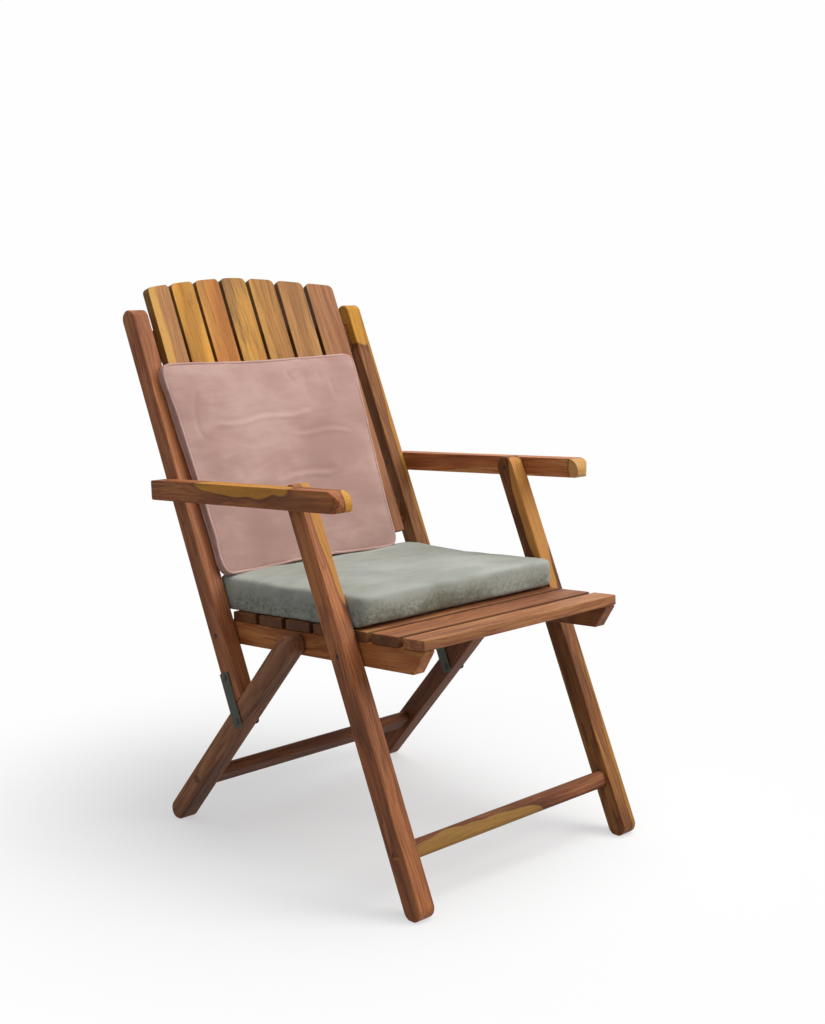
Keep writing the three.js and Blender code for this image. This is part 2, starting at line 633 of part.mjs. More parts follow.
// Cushion: plan with round corners and drawn-in sides, flat resting side, crowned top
function cushion(wide, deep, thick, crown, corner, origin, axisU, axisV, axisW) {
  const plan = [];
  const quarterTurns = [[1, -1], [1, 1], [-1, 1], [-1, -1]];
  quarterTurns.forEach(([su, sv], turn) => {
    const cu = su * (wide / 2 - corner);
    const cv = sv * (deep / 2 - corner);
    const start = -Math.PI / 2 + turn * Math.PI / 2;
    for (let k = 0; k <= PAD_CORNER_STEPS; k += 1) {
      const angle = start + Math.PI / 2 * k / PAD_CORNER_STEPS;
      plan.push([cu + corner * Math.cos(angle), cv + corner * Math.sin(angle)]);
    }
    const run = turn % 2 === 0 ? deep - 2 * corner : wide - 2 * corner;
    const out = start + Math.PI / 2;
    const last = plan[plan.length - 1];
    for (let k = 1; k < PAD_SIDE_STEPS; k += 1) {
      const share = k / PAD_SIDE_STEPS;
      const pull = PAD_DRAW_IN * Math.sin(Math.PI * share);
      plan.push([
        last[0] - Math.sin(out) * run * share - Math.cos(out) * pull,
        last[1] + Math.cos(out) * run * share - Math.sin(out) * pull,
      ]);
    }
  });
  const count = plan.length;
  const positions = [];
  const index = [];
  const half = thick / 2;
  const put = (u, v, w) => {
    const p = origin.clone().addScaledVector(axisU, u).addScaledVector(axisV, v).addScaledVector(axisW, w);
    positions.push(p.x, p.y, p.z);
  };
  put(0, 0, 0);
  for (let level = 1; level < PAD_LEVELS; level += 1) {
    const angle = -Math.PI / 2 + Math.PI * level / PAD_LEVELS;
    const power = 2 / (angle < 0 ? PAD_REST_SQUARENESS : PAD_SQUARENESS);
    const spread = Math.cos(angle) ** power;
    const rise = Math.sign(Math.sin(angle)) * Math.abs(Math.sin(angle)) ** power;
    const swell = rise > 0 ? crown * (1 - spread * spread) * rise : 0;
    for (const [u, v] of plan) {
      put(u * spread, v * spread, half + half * rise + swell);
    }
  }
  put(0, 0, thick + crown);
  const ring = (level, k) => 1 + (level - 1) * count + (k % count);
  const top = 1 + (PAD_LEVELS - 1) * count;
  for (let k = 0; k < count; k += 1) {
    index.push(0, ring(1, k + 1), ring(1, k));
    index.push(top, ring(PAD_LEVELS - 1, k), ring(PAD_LEVELS - 1, k + 1));
    for (let level = 1; level < PAD_LEVELS - 1; level += 1) {
      const a = ring(level, k);
      const b = ring(level, k + 1);
      const c = ring(level + 1, k + 1);
      const d = ring(level + 1, k);
      index.push(a, b, c, a, c, d);
    }
  }
  const geometry = new THREE.BufferGeometry();
  geometry.setAttribute('position', new THREE.BufferAttribute(new Float32Array(positions), 3));
  geometry.setIndex(index);
  return solid(geometry);
}

// Seat cushion on the slats, front slats left bare
function seatCushion() {
  const lift = RAIL_HEIGHT / 2 + GAP + SEAT_SLAT_THICK + GAP;
  const middle = step(onRail((SEAT_PAD_FRONT_Y + SEAT_PAD_REAR_Y) / 2), seatUp, lift);
  const deep = onRail(SEAT_PAD_FRONT_Y).distanceTo(onRail(SEAT_PAD_REAR_Y));
  const wide = 2 * (legInnerX - SEAT_PAD_SIDE_GAP);
  return cushion(
    wide, deep, SEAT_PAD_THICK, SEAT_PAD_CROWN, SEAT_PAD_CORNER,
    new THREE.Vector3(0, middle.x, middle.y),
    new THREE.Vector3(1, 0, 0),
    new THREE.Vector3(0, seatDir.x, seatDir.y),
    new THREE.Vector3(0, seatUp.x, seatUp.y),
  );
}

// Back cushion against the front of the stiles, a little over the right one
function backCushion() {
  const along = step(backPivot, leanDir, BACK_PAD_START + BACK_PAD_HEIGHT / 2);
  const middle = step(along, backFront, STILE_DEPTH / 2 + GAP);
  const wide = 2 * legInnerX + BACK_PAD_STILE_LAP - BACK_PAD_LEFT_GAP;
  const aside = -(BACK_PAD_STILE_LAP + BACK_PAD_LEFT_GAP) / 2;
  return cushion(
    wide, BACK_PAD_HEIGHT, BACK_PAD_THICK, BACK_PAD_CROWN, BACK_PAD_CORNER,
    new THREE.Vector3(aside, middle.x, middle.y),
    new THREE.Vector3(1, 0, 0),
    new THREE.Vector3(0, leanDir.x, leanDir.y),
    new THREE.Vector3(0, backFront.x, backFront.y),
  );
}

// Wood colours by eye, slat by slat
const RAIL_COLOURS = { right: '#8a5433', left: '#6f4229' };
const LEG_COLOURS = { right: '#8c5230', left: '#7d482b' };
const STILE_COLOURS = { right: '#855030', left: '#a5683f' };
const ARM_COLOURS = { right: '#96582f', left: '#a0633a' };
const SEAT_SLAT_COLOURS = ['#b27444', '#a96c42', '#a86d45', '#9f6540', '#9c623d', '#a0663f', '#99603b'];
const BACK_SLAT_COLOURS = ['#b77d4c', '#c48c55', '#bd8a63', '#b98258', '#c29059', '#b47a4a', '#bf8a52'];
const STRETCHER_COLOUR = '#7a472b';
const CROSS_RAIL_COLOUR = '#7d4b2e';
const SEAT_PAD_COLOUR = '#8c9189';
const BACK_PAD_COLOUR = '#b98f88';
const VELVET_ROUGHNESS = 0.95;

for (const { sign, label } of SIDES) {
  wood(`seat_rail_${label}`, seatRail(sign), RAIL_COLOURS[label]);
}
for (let i = 0; i < SEAT_SLAT_COUNT; i += 1) {
  wood(`seat_slat_${i + 1}`, seatSlat(i), SEAT_SLAT_COLOURS[i]);
}
for (const { sign, label } of SIDES) {
  wood(`back_stile_${label}`, backStile(sign), STILE_COLOURS[label]);
  wood(`front_leg_${label}`, frontLeg(sign), LEG_COLOURS[label]);
  wood(`rear_leg_${label}`, rearLeg(sign), LEG_COLOURS[label]);
  wood(`armrest_${label}`, armrest(sign), ARM_COLOURS[label]);
}
for (let i = 0; i < BACK_SLAT_COUNT; i += 1) {
  wood(`back_slat_${i + 1}`, backSlat(i), BACK_SLAT_COLOURS[i]);
}
wood('back_rail_lower', crossRail(crossRails.lower), CROSS_RAIL_COLOUR);
wood('back_rail_upper', crossRail(crossRails.upper), CROSS_RAIL_COLOUR);
const frontBar = stretcher(frontStretcherAt, leanDir, FRONT_STRETCHER_HEIGHT, FRONT_STRETCHER_THICK);
const rearBar = stretcher(rearStretcherAt, rearLegDir, REAR_STRETCHER_HEIGHT, REAR_STRETCHER_THICK);
wood('front_stretcher', frontBar, STRETCHER_COLOUR);
wood('rear_stretcher', rearBar, STRETCHER_COLOUR);

const boltEndX = legOuterX - BOLT_RECESS;
const blindEndX = legInnerX + REAR_LEG_BOLT_DEPTH - GAP;
for (const { sign, label } of SIDES) {
  steel(`pivot_bolt_back_${label}`, railBolt(sign, backPivot, boltEndX));
  steel(`pivot_bolt_front_leg_${label}`, railBolt(sign, frontPivot, boltEndX));
  steel(`pivot_bolt_rear_leg_${label}`, railBolt(sign, rearPivot, blindEndX));
  steel(`arm_bolt_front_${label}`, armBolt(sign, armFrontPivot));
  steel(`arm_bolt_rear_${label}`, armBolt(sign, armRearPivot));
  steel(`washer_back_${label}`, washer(sign, backPivot));
  steel(`washer_front_leg_${label}`, washer(sign, frontPivot));
  steel(`washer_rear_leg_${label}`, washer(sign, rearPivot));
  steel(`strap_outer_${label}`, strap(...sideRange(sign, strapOuterFrom, strapOuterTo)));
  steel(`strap_inner_${label}`, strap(...sideRange(sign, strapInnerFrom, strapInnerTo)));
  steel(`strap_rivet_upper_${label}`, rivetThrough(sign));
  steel(`strap_rivet_lower_outer_${label}`, rivetShort(sign, strapOuterFrom, strapOuterTo + METAL_EASE, 1));
  steel(`strap_rivet_lower_inner_${label}`, rivetShort(sign, strapInnerTo, strapInnerFrom - METAL_EASE, -1));
}

piece('seat_cushion', seatCushion(), SEAT_PAD_COLOUR, VELVET_ROUGHNESS, 0);
piece('back_cushion', backCushion(), BACK_PAD_COLOUR, VELVET_ROUGHNESS, 0);

// Origin on the floor under the middle of the chair
const box = new THREE.Box3().setFromObject(group);
const middleY = (box.min.y + box.max.y) / 2;
for (const part of group.children) {
  part.geometry.translate(0, -middleY, 0);
}

export default group;
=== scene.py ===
# %% [markdown]
# # A folding teak armchair
# The chair is a set of teak bars that swing on bolts, seven seat slats, seven back slats and two
# loose velvet cushions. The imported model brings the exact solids, and this lesson dresses them:
# each bar is made again with softly rounded edges, the slats come from Geometry Nodes, and the
# cushions are blown up with cloth simulation. Everything is in metres, the sitter faces -Y.

# %% Load the frame
import json
import math

import bmesh
import bpy
from mathutils import Matrix, Vector, noise


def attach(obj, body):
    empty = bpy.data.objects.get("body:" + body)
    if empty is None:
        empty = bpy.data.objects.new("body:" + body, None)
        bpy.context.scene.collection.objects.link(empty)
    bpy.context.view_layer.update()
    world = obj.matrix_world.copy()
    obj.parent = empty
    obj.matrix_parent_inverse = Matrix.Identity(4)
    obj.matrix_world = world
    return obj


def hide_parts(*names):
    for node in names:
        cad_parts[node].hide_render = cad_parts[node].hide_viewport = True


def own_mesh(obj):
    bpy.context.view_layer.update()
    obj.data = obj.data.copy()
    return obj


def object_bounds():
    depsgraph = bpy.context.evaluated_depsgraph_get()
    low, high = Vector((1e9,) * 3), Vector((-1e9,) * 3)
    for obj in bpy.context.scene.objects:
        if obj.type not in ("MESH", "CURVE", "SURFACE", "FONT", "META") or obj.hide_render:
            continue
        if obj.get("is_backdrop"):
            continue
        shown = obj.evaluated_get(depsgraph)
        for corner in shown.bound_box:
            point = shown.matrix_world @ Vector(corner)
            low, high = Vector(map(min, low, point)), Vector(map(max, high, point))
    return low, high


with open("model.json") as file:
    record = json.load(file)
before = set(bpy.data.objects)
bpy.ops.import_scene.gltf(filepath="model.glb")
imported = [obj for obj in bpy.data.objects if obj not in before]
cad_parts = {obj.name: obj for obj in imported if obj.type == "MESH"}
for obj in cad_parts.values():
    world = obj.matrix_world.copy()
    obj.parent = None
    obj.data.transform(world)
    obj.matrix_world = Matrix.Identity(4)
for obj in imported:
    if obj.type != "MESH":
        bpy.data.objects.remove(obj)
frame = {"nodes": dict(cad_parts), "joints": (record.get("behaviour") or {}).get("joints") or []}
cad_box = [[float(v) for v in corner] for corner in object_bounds()]
print("CAD box", cad_box)

# %% [markdown]
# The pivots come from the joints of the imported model, so the dressed bars sit exactly where the
# solids do. A side view point is a pair (y, z). The front legs and the back stiles lean back by
# 25 degrees, and the seat falls backwards by 8 parts in 100.

# %% Pivots and directions
JOINTS = {j["name"]: Vector(j["pos_m"]) for j in frame["joints"]}


def side_point(v):
    """The (y, z) pair of a point."""
    return Vector((v.y, v.z))


def turned(direction):
    """A side view direction turned by a quarter: backwards becomes up, up becomes forwards."""
    return Vector((-direction.y, direction.x))


BACK_PIVOT = side_point(JOINTS["back_fold"])
FRONT_PIVOT = side_point(JOINTS["front_leg_fold"])
REAR_PIVOT = side_point(JOINTS["rear_leg_fold"])
ARM_FRONT_PIVOT = side_point(JOINTS["arm_fold_right"])
STRAP_HIGH = side_point(JOINTS["strap_swing_right"])

LEAN = math.radians(25)
LEAN_DIR = Vector((math.sin(LEAN), math.cos(LEAN)))
BACK_FRONT = turned(LEAN_DIR)
SEAT_FALL = 0.08
SEAT_DIR = Vector((1, -SEAT_FALL)).normalized()
SEAT_UP = turned(SEAT_DIR)
ARM_HEIGHT = 0.280  # from the back pivot up the stile to the arm bolt
ARM_REAR_PIVOT = BACK_PIVOT + ARM_HEIGHT * LEAN_DIR
ARM_DIR = (ARM_REAR_PIVOT - ARM_FRONT_PIVOT).normalized()
ARM_UP = turned(ARM_DIR)
# The datum is the mark that the side view numbers of the solids are counted from
PIVOT_Y = 0.407
DATUM_Y = BACK_PIVOT.x - PIVOT_Y
REAR_FOOT = Vector((0.526 + DATUM_Y, 0.0176))
REAR_DIR = (REAR_FOOT - REAR_PIVOT).normalized()
STRAP_LOW = STRAP_HIGH - 0.082 * LEAN_DIR

# Layers of the chair from the middle outwards
RAIL_X = (0.2238, 0.2513)
LEG_X = (0.2540, 0.2900)
ARM_X = (0.2903, 0.3263)
SIDES = {"right": -1, "left": 1}


def on_rail(y):
    """Centre line of the seat rails at y, counted from the datum."""
    return Vector((y + DATUM_Y, BACK_PIVOT.y + SEAT_FALL * (PIVOT_Y - y)))


def span(sign, near, far):
    """Lower and upper x of a layer on one side of the chair."""
    return (near, far) if sign > 0 else (-far, -near)


print("back pivot", tuple(round(v, 4) for v in BACK_PIVOT))

# %% [markdown]
# Colours are read off the photograph as ordinary sRGB codes and turned into the linear numbers
# that a shader works with. One small helper adds any node, sets its properties and fills its
# sockets, in order or by name, either with a value or with a link from another node. A colour
# mix takes its share at socket 0 and its colours at 6 and 7, and gives the result at output 2.

# %% Colour and node helpers
MATH, VECTOR, NOISE = "ShaderNodeMath", "ShaderNodeVectorMath", "ShaderNodeTexNoise"
RANGE, MIX, RAMP = "ShaderNodeMapRange", "ShaderNodeMix", "ShaderNodeValToRGB"
SMOOTH = {"interpolation_type": "SMOOTHSTEP"}
COLOURS = {"data_type": "RGBA"}


def hex_linear(code):
    """Linear RGBA of an sRGB code such as #a86d45."""
    parts = [int(code[i:i + 2], 16) / 255 for i in (1, 3, 5)]
    linear = [p / 12.92 if p <= 0.04045 else ((p + 0.055) / 1.055) ** 2.4 for p in parts]
    return (*linear, 1.0)


def fill(tree, node, inputs):
    """Give the sockets of a node their values or links."""
    for key, value in inputs.items() if isinstance(inputs, dict) else enumerate(inputs):
        if isinstance(value, bpy.types.NodeSocket):
            tree.links.new(value, node.inputs[key])
        else:
            node.inputs[key].default_value = value


def add(tree, kind, inputs=(), out=0, **settings):
    """Add a node and give back one of its outputs, or the node itself where out is None."""
    made = tree.nodes.new(kind)
    for key, value in settings.items():
        setattr(made, key, value)
    fill(tree, made, inputs)
    return made if out is None else made.outputs[out]


def new_material(name):
    """A material, its node tree and its shader."""
    material = bpy.data.materials.new(name)
    material.use_nodes = True
    return material, material.node_tree, material.node_tree.nodes["Principled BSDF"]


def set_stops(band, stops, interpolation="LINEAR"):
    """Give a colour ramp its stops of (position, linear colour)."""
    band.interpolation = interpolation
    while len(band.elements) < len(stops):
        band.elements.new(0.5)
    for element, (position, colour) in zip(band.elements, stops):
        element.position = position
        element.color = colour


print("brown of the rails in linear numbers", [round(v, 3) for v in hex_linear("#a86638")])

# %% [markdown]
# Teak is brown heartwood with straight darker year lines, fine pores, and here and there a golden
# tongue of sapwood along an edge. The figure is solid, so end grain and side grain agree: each
# bar gets its own grain space, turned so that z runs along the fibres, and noises stretched along
# z draw the figure. Real fibres are 0.02 mm wide, pores 0.2 mm, and year lines stand 3 to 5 mm
# apart. That is too fine to show at this distance, so they are drawn coarser, as 1 mm, 0.5 mm and
# 6.5 mm.

# %% Grain of the log
# Each layer: does it follow the wander of the fibres, stretch along them, scale, detail, roughness
FIGURE = {
    "broad": (True, 0.07, 42.0, 3.0, 0.55),  # bands of 24 mm
    "bands": (True, 0.035, 170.0, 3.0, 0.6),  # bands of 6 mm
    "fibre": (False, 0.018, 900.0, 5.0, 0.65),  # bundles of 1 mm
    "tongue": (True, 0.11, 24.0, 2.0, 0.5),  # dark heart, 42 mm
    "edge": (True, 0.14, 38.0, 3.0, 0.6),  # edge of a colour zone, 26 mm
    "streak": (True, 0.022, 240.0, 2.0, 0.6),  # mineral streaks of 4 mm
    "pores": (False, 0.035, 1900.0, 1.0, 0.5),  # pores of 0.5 mm
}
YEAR_GAP = 0.0065


def grain_space(tree, lean, along_x):
    """Coordinates in metres with z along the fibres."""
    place = add(tree, "ShaderNodeTexCoord", out="Object")
    turn = (0.0, math.radians(-90), 0.0) if along_x else (lean, 0.0, 0.0)
    return add(tree, "ShaderNodeMapping", {"Vector": place, "Rotation": turn})


def grain_figure(tree, moved):
    """The noises of a log by name, and the tone from dark to light that they add up to."""
    slow = add(tree, VECTOR, (moved, (1.0, 1.0, 0.42)), operation="MULTIPLY")
    wander = add(tree, NOISE, {"Vector": slow, "Scale": 7.0}, "Color")
    pushed = add(tree, VECTOR, (wander, (0.050, 0.050, 0.0), moved), operation="MULTIPLY_ADD")
    layers = {}
    for label, (follows, stretch, scale, detail, rough) in FIGURE.items():
        place = pushed if follows else moved
        place = add(tree, VECTOR, (place, (1.0, 1.0, stretch)), operation="MULTIPLY")
        layers[label] = add(tree, NOISE, {
            "Vector": place, "Scale": scale, "Detail": detail, "Roughness": rough})
    # Year lines are rings round a pith line outside the bar, darkest just before the next ring
    round_pith = add(tree, VECTOR, (pushed, (1.0, 0.55, 0.012)), operation="MULTIPLY")
    reach = add(tree, VECTOR, (round_pith,), "Value", operation="LENGTH")
    rings = add(tree, MATH, (reach, YEAR_GAP), operation="DIVIDE")
    rings = add(tree, MATH, (layers["bands"], 1.6, rings), operation="MULTIPLY_ADD")
    since = add(tree, MATH, (rings,), operation="FRACT")
    layers["year"] = add(tree, MATH, (since, 3.0), operation="POWER")
    tone = 0.0
    for label, weight in (("broad", 0.46), ("bands", 0.30), ("fibre", 0.30), ("year", -0.10)):
        tone = add(tree, MATH, (layers[label], weight, tone), operation="MULTIPLY_ADD")
    tone = add(tree, RANGE, (tone, 0.31, 0.70, 0.0, 1.0), **SMOOTH)
    return layers, tone


print("layers of the teak figure:", ", ".join(FIGURE))

# %% [markdown]
# Slats were sawn from different boards, so each has a dark and a light colour of its own, and a
# zone of a third colour that starts somewhere across or along it. The node tree of the slats
# leaves three attributes for that: the board's number, and the place across and along it.

# %% Colours of the slats
def by_board(tree, number, values):
    """The board's own entry in a list of colours, picked by a ramp without blending."""
    step = 1.0 / len(values)
    picked = add(tree, MATH, (number, step, step * 0.25), operation="MULTIPLY_ADD")
    band = add(tree, RAMP, (picked,), None)
    set_stops(band.color_ramp, [(i * step, value) for i, value in enumerate(values)], "CONSTANT")
    return band.outputs["Color"]


def board_colour(tree, number, tone, edge, boards):
    """Colour of each slat: its dark and light by the tone, and its zone beyond a ragged edge."""
    low, high, zone = (by_board(tree, number, [hex_linear(b[k]) for b in boards]) for k in range(3))
    # The three numbers of a zone lie between -1 and 1 and travel as a colour between 0 and 1
    where = by_board(tree, number, [tuple(0.5 + 0.5 * v for v in b[3]) + (1.0,) for b in boards])
    centred = add(tree, VECTOR, (where, (0.5, 0.5, 0.5)), operation="SUBTRACT")
    across = add(tree, "ShaderNodeAttribute", out="Fac", attribute_name="across")
    along = add(tree, "ShaderNodeAttribute", out="Fac", attribute_name="along")
    spot = add(tree, "ShaderNodeCombineXYZ", (
        add(tree, MATH, (across, 4.0), operation="MULTIPLY"),
        add(tree, MATH, (along, 4.0, -2.0), operation="MULTIPLY_ADD"), 2.0))
    lies = add(tree, VECTOR, (spot, centred), "Value", operation="DOT_PRODUCT")
    ragged = add(tree, MATH, (edge, 2.6, -1.3), operation="MULTIPLY_ADD")
    lies = add(tree, MATH, (lies, ragged), operation="ADD")
    share = add(tree, RANGE, (lies, -0.10, 0.45, 0.0, 0.9), **SMOOTH)
    faint = add(tree, MATH, (tone, 0.55), operation="MULTIPLY")
    zoned = add(tree, MIX, {0: faint, 6: zone, 7: high}, 2, **COLOURS)
    plain = add(tree, MIX, {0: tone, 6: low, 7: high}, 2, **COLOURS)
    return add(tree, MIX, {0: share, 6: plain, 7: zoned}, 2, **COLOURS)


print("a zone is placed across, along and by its size")

# %% [markdown]
# Sapwood is the outer, golden layer of the log. On a bar it shows as a long tongue with a dark
# rim where it meets the brown. Here each tongue is an egg shape inside the log, stretched along
# the fibres, and a slow noise makes its skin wavy.

# %% Sapwood tongues
def sapwood(tree, colour, tone, space, moved, middle, half_sizes, wave, gold):
    """Colour with one tongue of sapwood laid into it."""
    gold = hex_linear(gold)
    bright = tuple(min(1.0, v * 1.45) for v in gold[:3]) + (1.0,)
    off = add(tree, VECTOR, (space, middle), operation="SUBTRACT")
    off = add(tree, VECTOR, (off, tuple(1 / v for v in half_sizes)), operation="MULTIPLY")
    lies = add(tree, VECTOR, (off,), "Value", operation="LENGTH")
    slow = add(tree, VECTOR, (moved, (0.8, 0.8, 0.6)), operation="MULTIPLY")
    wavy = add(tree, NOISE, {"Vector": slow, "Scale": 17.0, "Detail": 1.5})  # waves of 70 mm
    wavy = add(tree, MATH, (wavy, wave * 2, -wave), operation="MULTIPLY_ADD")
    lies = add(tree, MATH, (lies, wavy), operation="ADD")
    rim = add(tree, RANGE, (lies, 1.0, 1.22, 0.45, 0.0), **SMOOTH)
    colour = add(tree, MIX, {0: rim, 6: colour, 7: hex_linear("#4a2716")}, 2, **COLOURS)
    share = add(tree, RANGE, (lies, 0.92, 1.0, 0.92, 0.0), **SMOOTH)
    gilded = add(tree, MIX, {0: tone, 6: gold, 7: bright}, 2, **COLOURS)
    return add(tree, MIX, {0: share, 6: colour, 7: gilded}, 2, **COLOURS)


def in_grain(x, side, lean, along_x):
    """A point of the chair, given by x and its side view point, in grain coordinates."""
    if along_x:
        return (-side.y, side.x, x)
    cos, sin = math.cos(lean), math.sin(lean)
    return (x, cos * side.x - sin * side.y, sin * side.x + cos * side.y)


print("a tongue is placed by its middle and three half sizes")

# %% [markdown]
# Oiled teak put together: the tone picks between dark, middle and light brown, dark heart and
# mineral streaks and pores are laid over it, and the pores sink into a very low bump. Old oil
# leaves a dull satin gloss that wanders with the fibres.

# %% Oiled teak
def teak(name, dark, mid, light, lean=0.0, along_x=False, seed=0.0, streaks=0.35, heart=0.5,
         sap=(), boards=None):
    """Oiled teak. sap lists tongues of sapwood, each (x, side point, (half width, half depth, half
    length), wave, gold). boards holds, for each slat, its dark, light and zone colours and three
    numbers that place the zone: across, along and size."""
    material, tree, shader = new_material(name)
    space = grain_space(tree, lean, along_x)
    if boards:
        # Every slat comes from another part of the pile
        number = add(tree, "ShaderNodeAttribute", out="Fac", attribute_name="board")
        shift = add(tree, VECTOR, (number, (0.173, 0.311, 1.37)), operation="MULTIPLY")
        space = add(tree, VECTOR, (space, shift))
    moved = add(tree, VECTOR, (space, (seed * 0.61, seed * 0.37, seed * 1.9)))
    layers, tone = grain_figure(tree, moved)
    if boards:
        colour = board_colour(tree, number, tone, layers["edge"], boards)
    else:
        band = add(tree, RAMP, (tone,), None)
        set_stops(band.color_ramp, [
            (0.0, hex_linear(dark)), (0.5, hex_linear(mid)), (1.0, hex_linear(light))])
        colour = band.outputs["Color"]

    def laid_over(below, label, low, high, strength, code):
        share = add(tree, RANGE, (layers[label], low, high, 0.0, strength), **SMOOTH)
        return share, add(tree, MIX, {0: share, 6: below, 7: hex_linear(code)}, 2, **COLOURS)

    share, colour = laid_over(colour, "tongue", 0.50, 0.66, heart, dark)
    for x, side, half_sizes, wave, gold in sap:
        middle = in_grain(x, side, lean, along_x)
        colour = sapwood(tree, colour, tone, space, moved, middle, half_sizes, wave, gold)
    share, colour = laid_over(colour, "streak", 0.58, 0.70, streaks, "#3f2315")
    pores, colour = laid_over(colour, "pores", 0.60, 0.72, 0.30, "#36200f")
    if boards:
        # Painted shade: the sides of each slat are darkened
        shaded_sides = add(tree, "ShaderNodeAttribute", out="Fac", attribute_name="shaded_sides")
        shaded_sides = add(tree, MATH, (shaded_sides, 0.62), operation="MULTIPLY")
        colour = add(tree, MIX, {0: shaded_sides, 6: colour, 7: hex_linear("#3a2012")}, 2, **COLOURS)

    rough = add(tree, RANGE, (layers["fibre"], 0.3, 0.7, 0.62, 0.46), **SMOOTH)
    height = add(tree, MATH, (pores, -1.2, layers["fibre"]), operation="MULTIPLY_ADD")
    bump = add(tree, "ShaderNodeBump", {"Height": height, "Strength": 0.30, "Distance": 0.0004})
    fill(tree, shader, {"Base Color": colour, "Roughness": rough, "IOR": 1.48,
                        "Specular IOR Level": 0.17, "Normal": bump})
    return material


REAR_LEAN = math.atan2(REAR_DIR.x, REAR_DIR.y)
SEAT_LEAN = math.atan2(SEAT_DIR.x, SEAT_DIR.y)
ARM_LEAN = math.atan2(ARM_DIR.x, ARM_DIR.y)
print("fibres of the rear legs turned by", round(math.degrees(REAR_LEAN), 1), "degrees")

# %% [markdown]
# The bars of the frame all have the same build: a side view outline with rounded corners, cut
# from a plank and eased along its edges with sandpaper. The outline is a few corner points, each
# with its own radius.

# %% Outlines
ARC_STEPS = 12


def rounded(corners):
    """Points of a closed outline through (point, radius) corners."""
    points = []
    count = len(corners)
    for i, (here, radius) in enumerate(corners):
        if radius == 0:
            points.append(here.copy())
            continue
        before = (corners[i - 1][0] - here).normalized()
        after = (corners[(i + 1) % count][0] - here).normalized()
        half = math.acos(max(-1.0, min(1.0, before.dot(after)))) / 2
        centre = here + (before + after).normalized() * (radius / math.sin(half))
        start = here + before * (radius / math.tan(half)) - centre
        end = here + after * (radius / math.tan(half)) - centre
        first = math.atan2(start.y, start.x)
        sweep = math.atan2(end.y, end.x) - first
        sweep = math.atan2(math.sin(sweep), math.cos(sweep))
        steps = max(2, round(ARC_STEPS * abs(sweep) / (math.pi / 2)))
        for k in range(steps + 1):
            angle = first + sweep * k / steps
            points.append(centre + radius * Vector((math.cos(angle), math.sin(angle))))
    nexts = points[1:] + points[:1]
    return [p for p, after in zip(points, nexts) if (p - after).length > 1e-5]


def bar_corners(start, direction, reach, depth, radius):
    """Corners of a straight bar: from its start along a direction, all with one radius."""
    across = turned(direction)
    end = start + direction * reach
    return [
        (start - across * depth / 2, radius),
        (end - across * depth / 2, radius),
        (end + across * depth / 2, radius),
        (start + across * depth / 2, radius),
    ]


test_bar = rounded(bar_corners(BACK_PIVOT, LEAN_DIR, 0.1, 0.03, 0.015))
print("a bar with rounded ends has", len(test_bar), "points")

# %% [markdown]
# The plank is a prism whose cap edges get a small bevel. Bolt holes are cut with Booleans, and
# weighted normals keep the flat faces flat. Modifiers are never left on a piece: it keeps the
# mesh that they make.

# %% Meshes and modifiers
def link(name, mesh):
    """A new object in the scene."""
    made = bpy.data.objects.new(name, mesh)
    bpy.context.scene.collection.objects.link(made)
    return made


def from_bmesh(name, bm):
    """A new object that takes over a finished bmesh."""
    mesh = bpy.data.meshes.new(name)
    bm.to_mesh(mesh)
    bm.free()
    return link(name, mesh)


def settle(obj):
    """Replace the mesh by what the modifiers make of it and drop the modifiers."""
    evaluated = obj.evaluated_get(bpy.context.evaluated_depsgraph_get())
    mesh = bpy.data.meshes.new_from_object(evaluated)
    mesh.name = obj.name
    obj.modifiers.clear()
    obj.data = mesh
    return obj


def combine(obj, operation, *others):
    """Cut, unite or intersect a bar with other objects, which are used up."""
    for other in others:
        step = obj.modifiers.new(operation.lower(), "BOOLEAN")
        step.operation = operation
        step.solver = "EXACT"
        step.object = other
    settle(obj)
    for other in others:
        bpy.data.objects.remove(other)


def ease_edges(obj, width, angle):
    """Round off every edge that is sharper than an angle in degrees."""
    soft = obj.modifiers.new("ease", "BEVEL")
    soft.width = width
    soft.segments = 3
    soft.limit_method = "ANGLE"
    soft.angle_limit = math.radians(angle)
    settle(obj)


def finish_normals(obj):
    """Smooth shading that keeps flat faces flat."""
    for face in obj.data.polygons:
        face.use_smooth = True
    obj.data.set_sharp_from_angle(angle=math.radians(38))
    weighted = obj.modifiers.new("flat faces", "WEIGHTED_NORMAL")
    weighted.keep_sharp = True
    return settle(obj)


# %% [markdown]
# With these steps a bar takes one call: its outline, its layer in x, how far its edges are eased
# and where its holes are. Each bar then gets its finish, the body that it moves with, and the
# solids that it stands for.

# %% Planks
def prism(near, far):
    """A bmesh between two matching rings of points, and its two cap faces."""
    bm = bmesh.new()
    near = [bm.verts.new(p) for p in near]
    far = [bm.verts.new(p) for p in far]
    caps = [bm.faces.new(near), bm.faces.new(list(reversed(far)))]
    for i in range(len(near)):
        j = (i + 1) % len(near)
        bm.faces.new((near[i], far[i], far[j], near[j]))
    bmesh.ops.recalc_face_normals(bm, faces=bm.faces)
    return bm, caps


def cylinder_x(at, radius, x_from, x_to):
    """A round bar along x through a side view point."""
    bm = bmesh.new()
    bmesh.ops.create_cone(bm, cap_ends=True, segments=40, radius1=radius, radius2=radius,
                          depth=abs(x_to - x_from))
    bmesh.ops.transform(bm, matrix=Matrix.Translation(((x_from + x_to) / 2, at.x, at.y))
                        @ Matrix.Rotation(math.pi / 2, 4, "Y"), verts=bm.verts)
    return from_bmesh("cutter", bm)


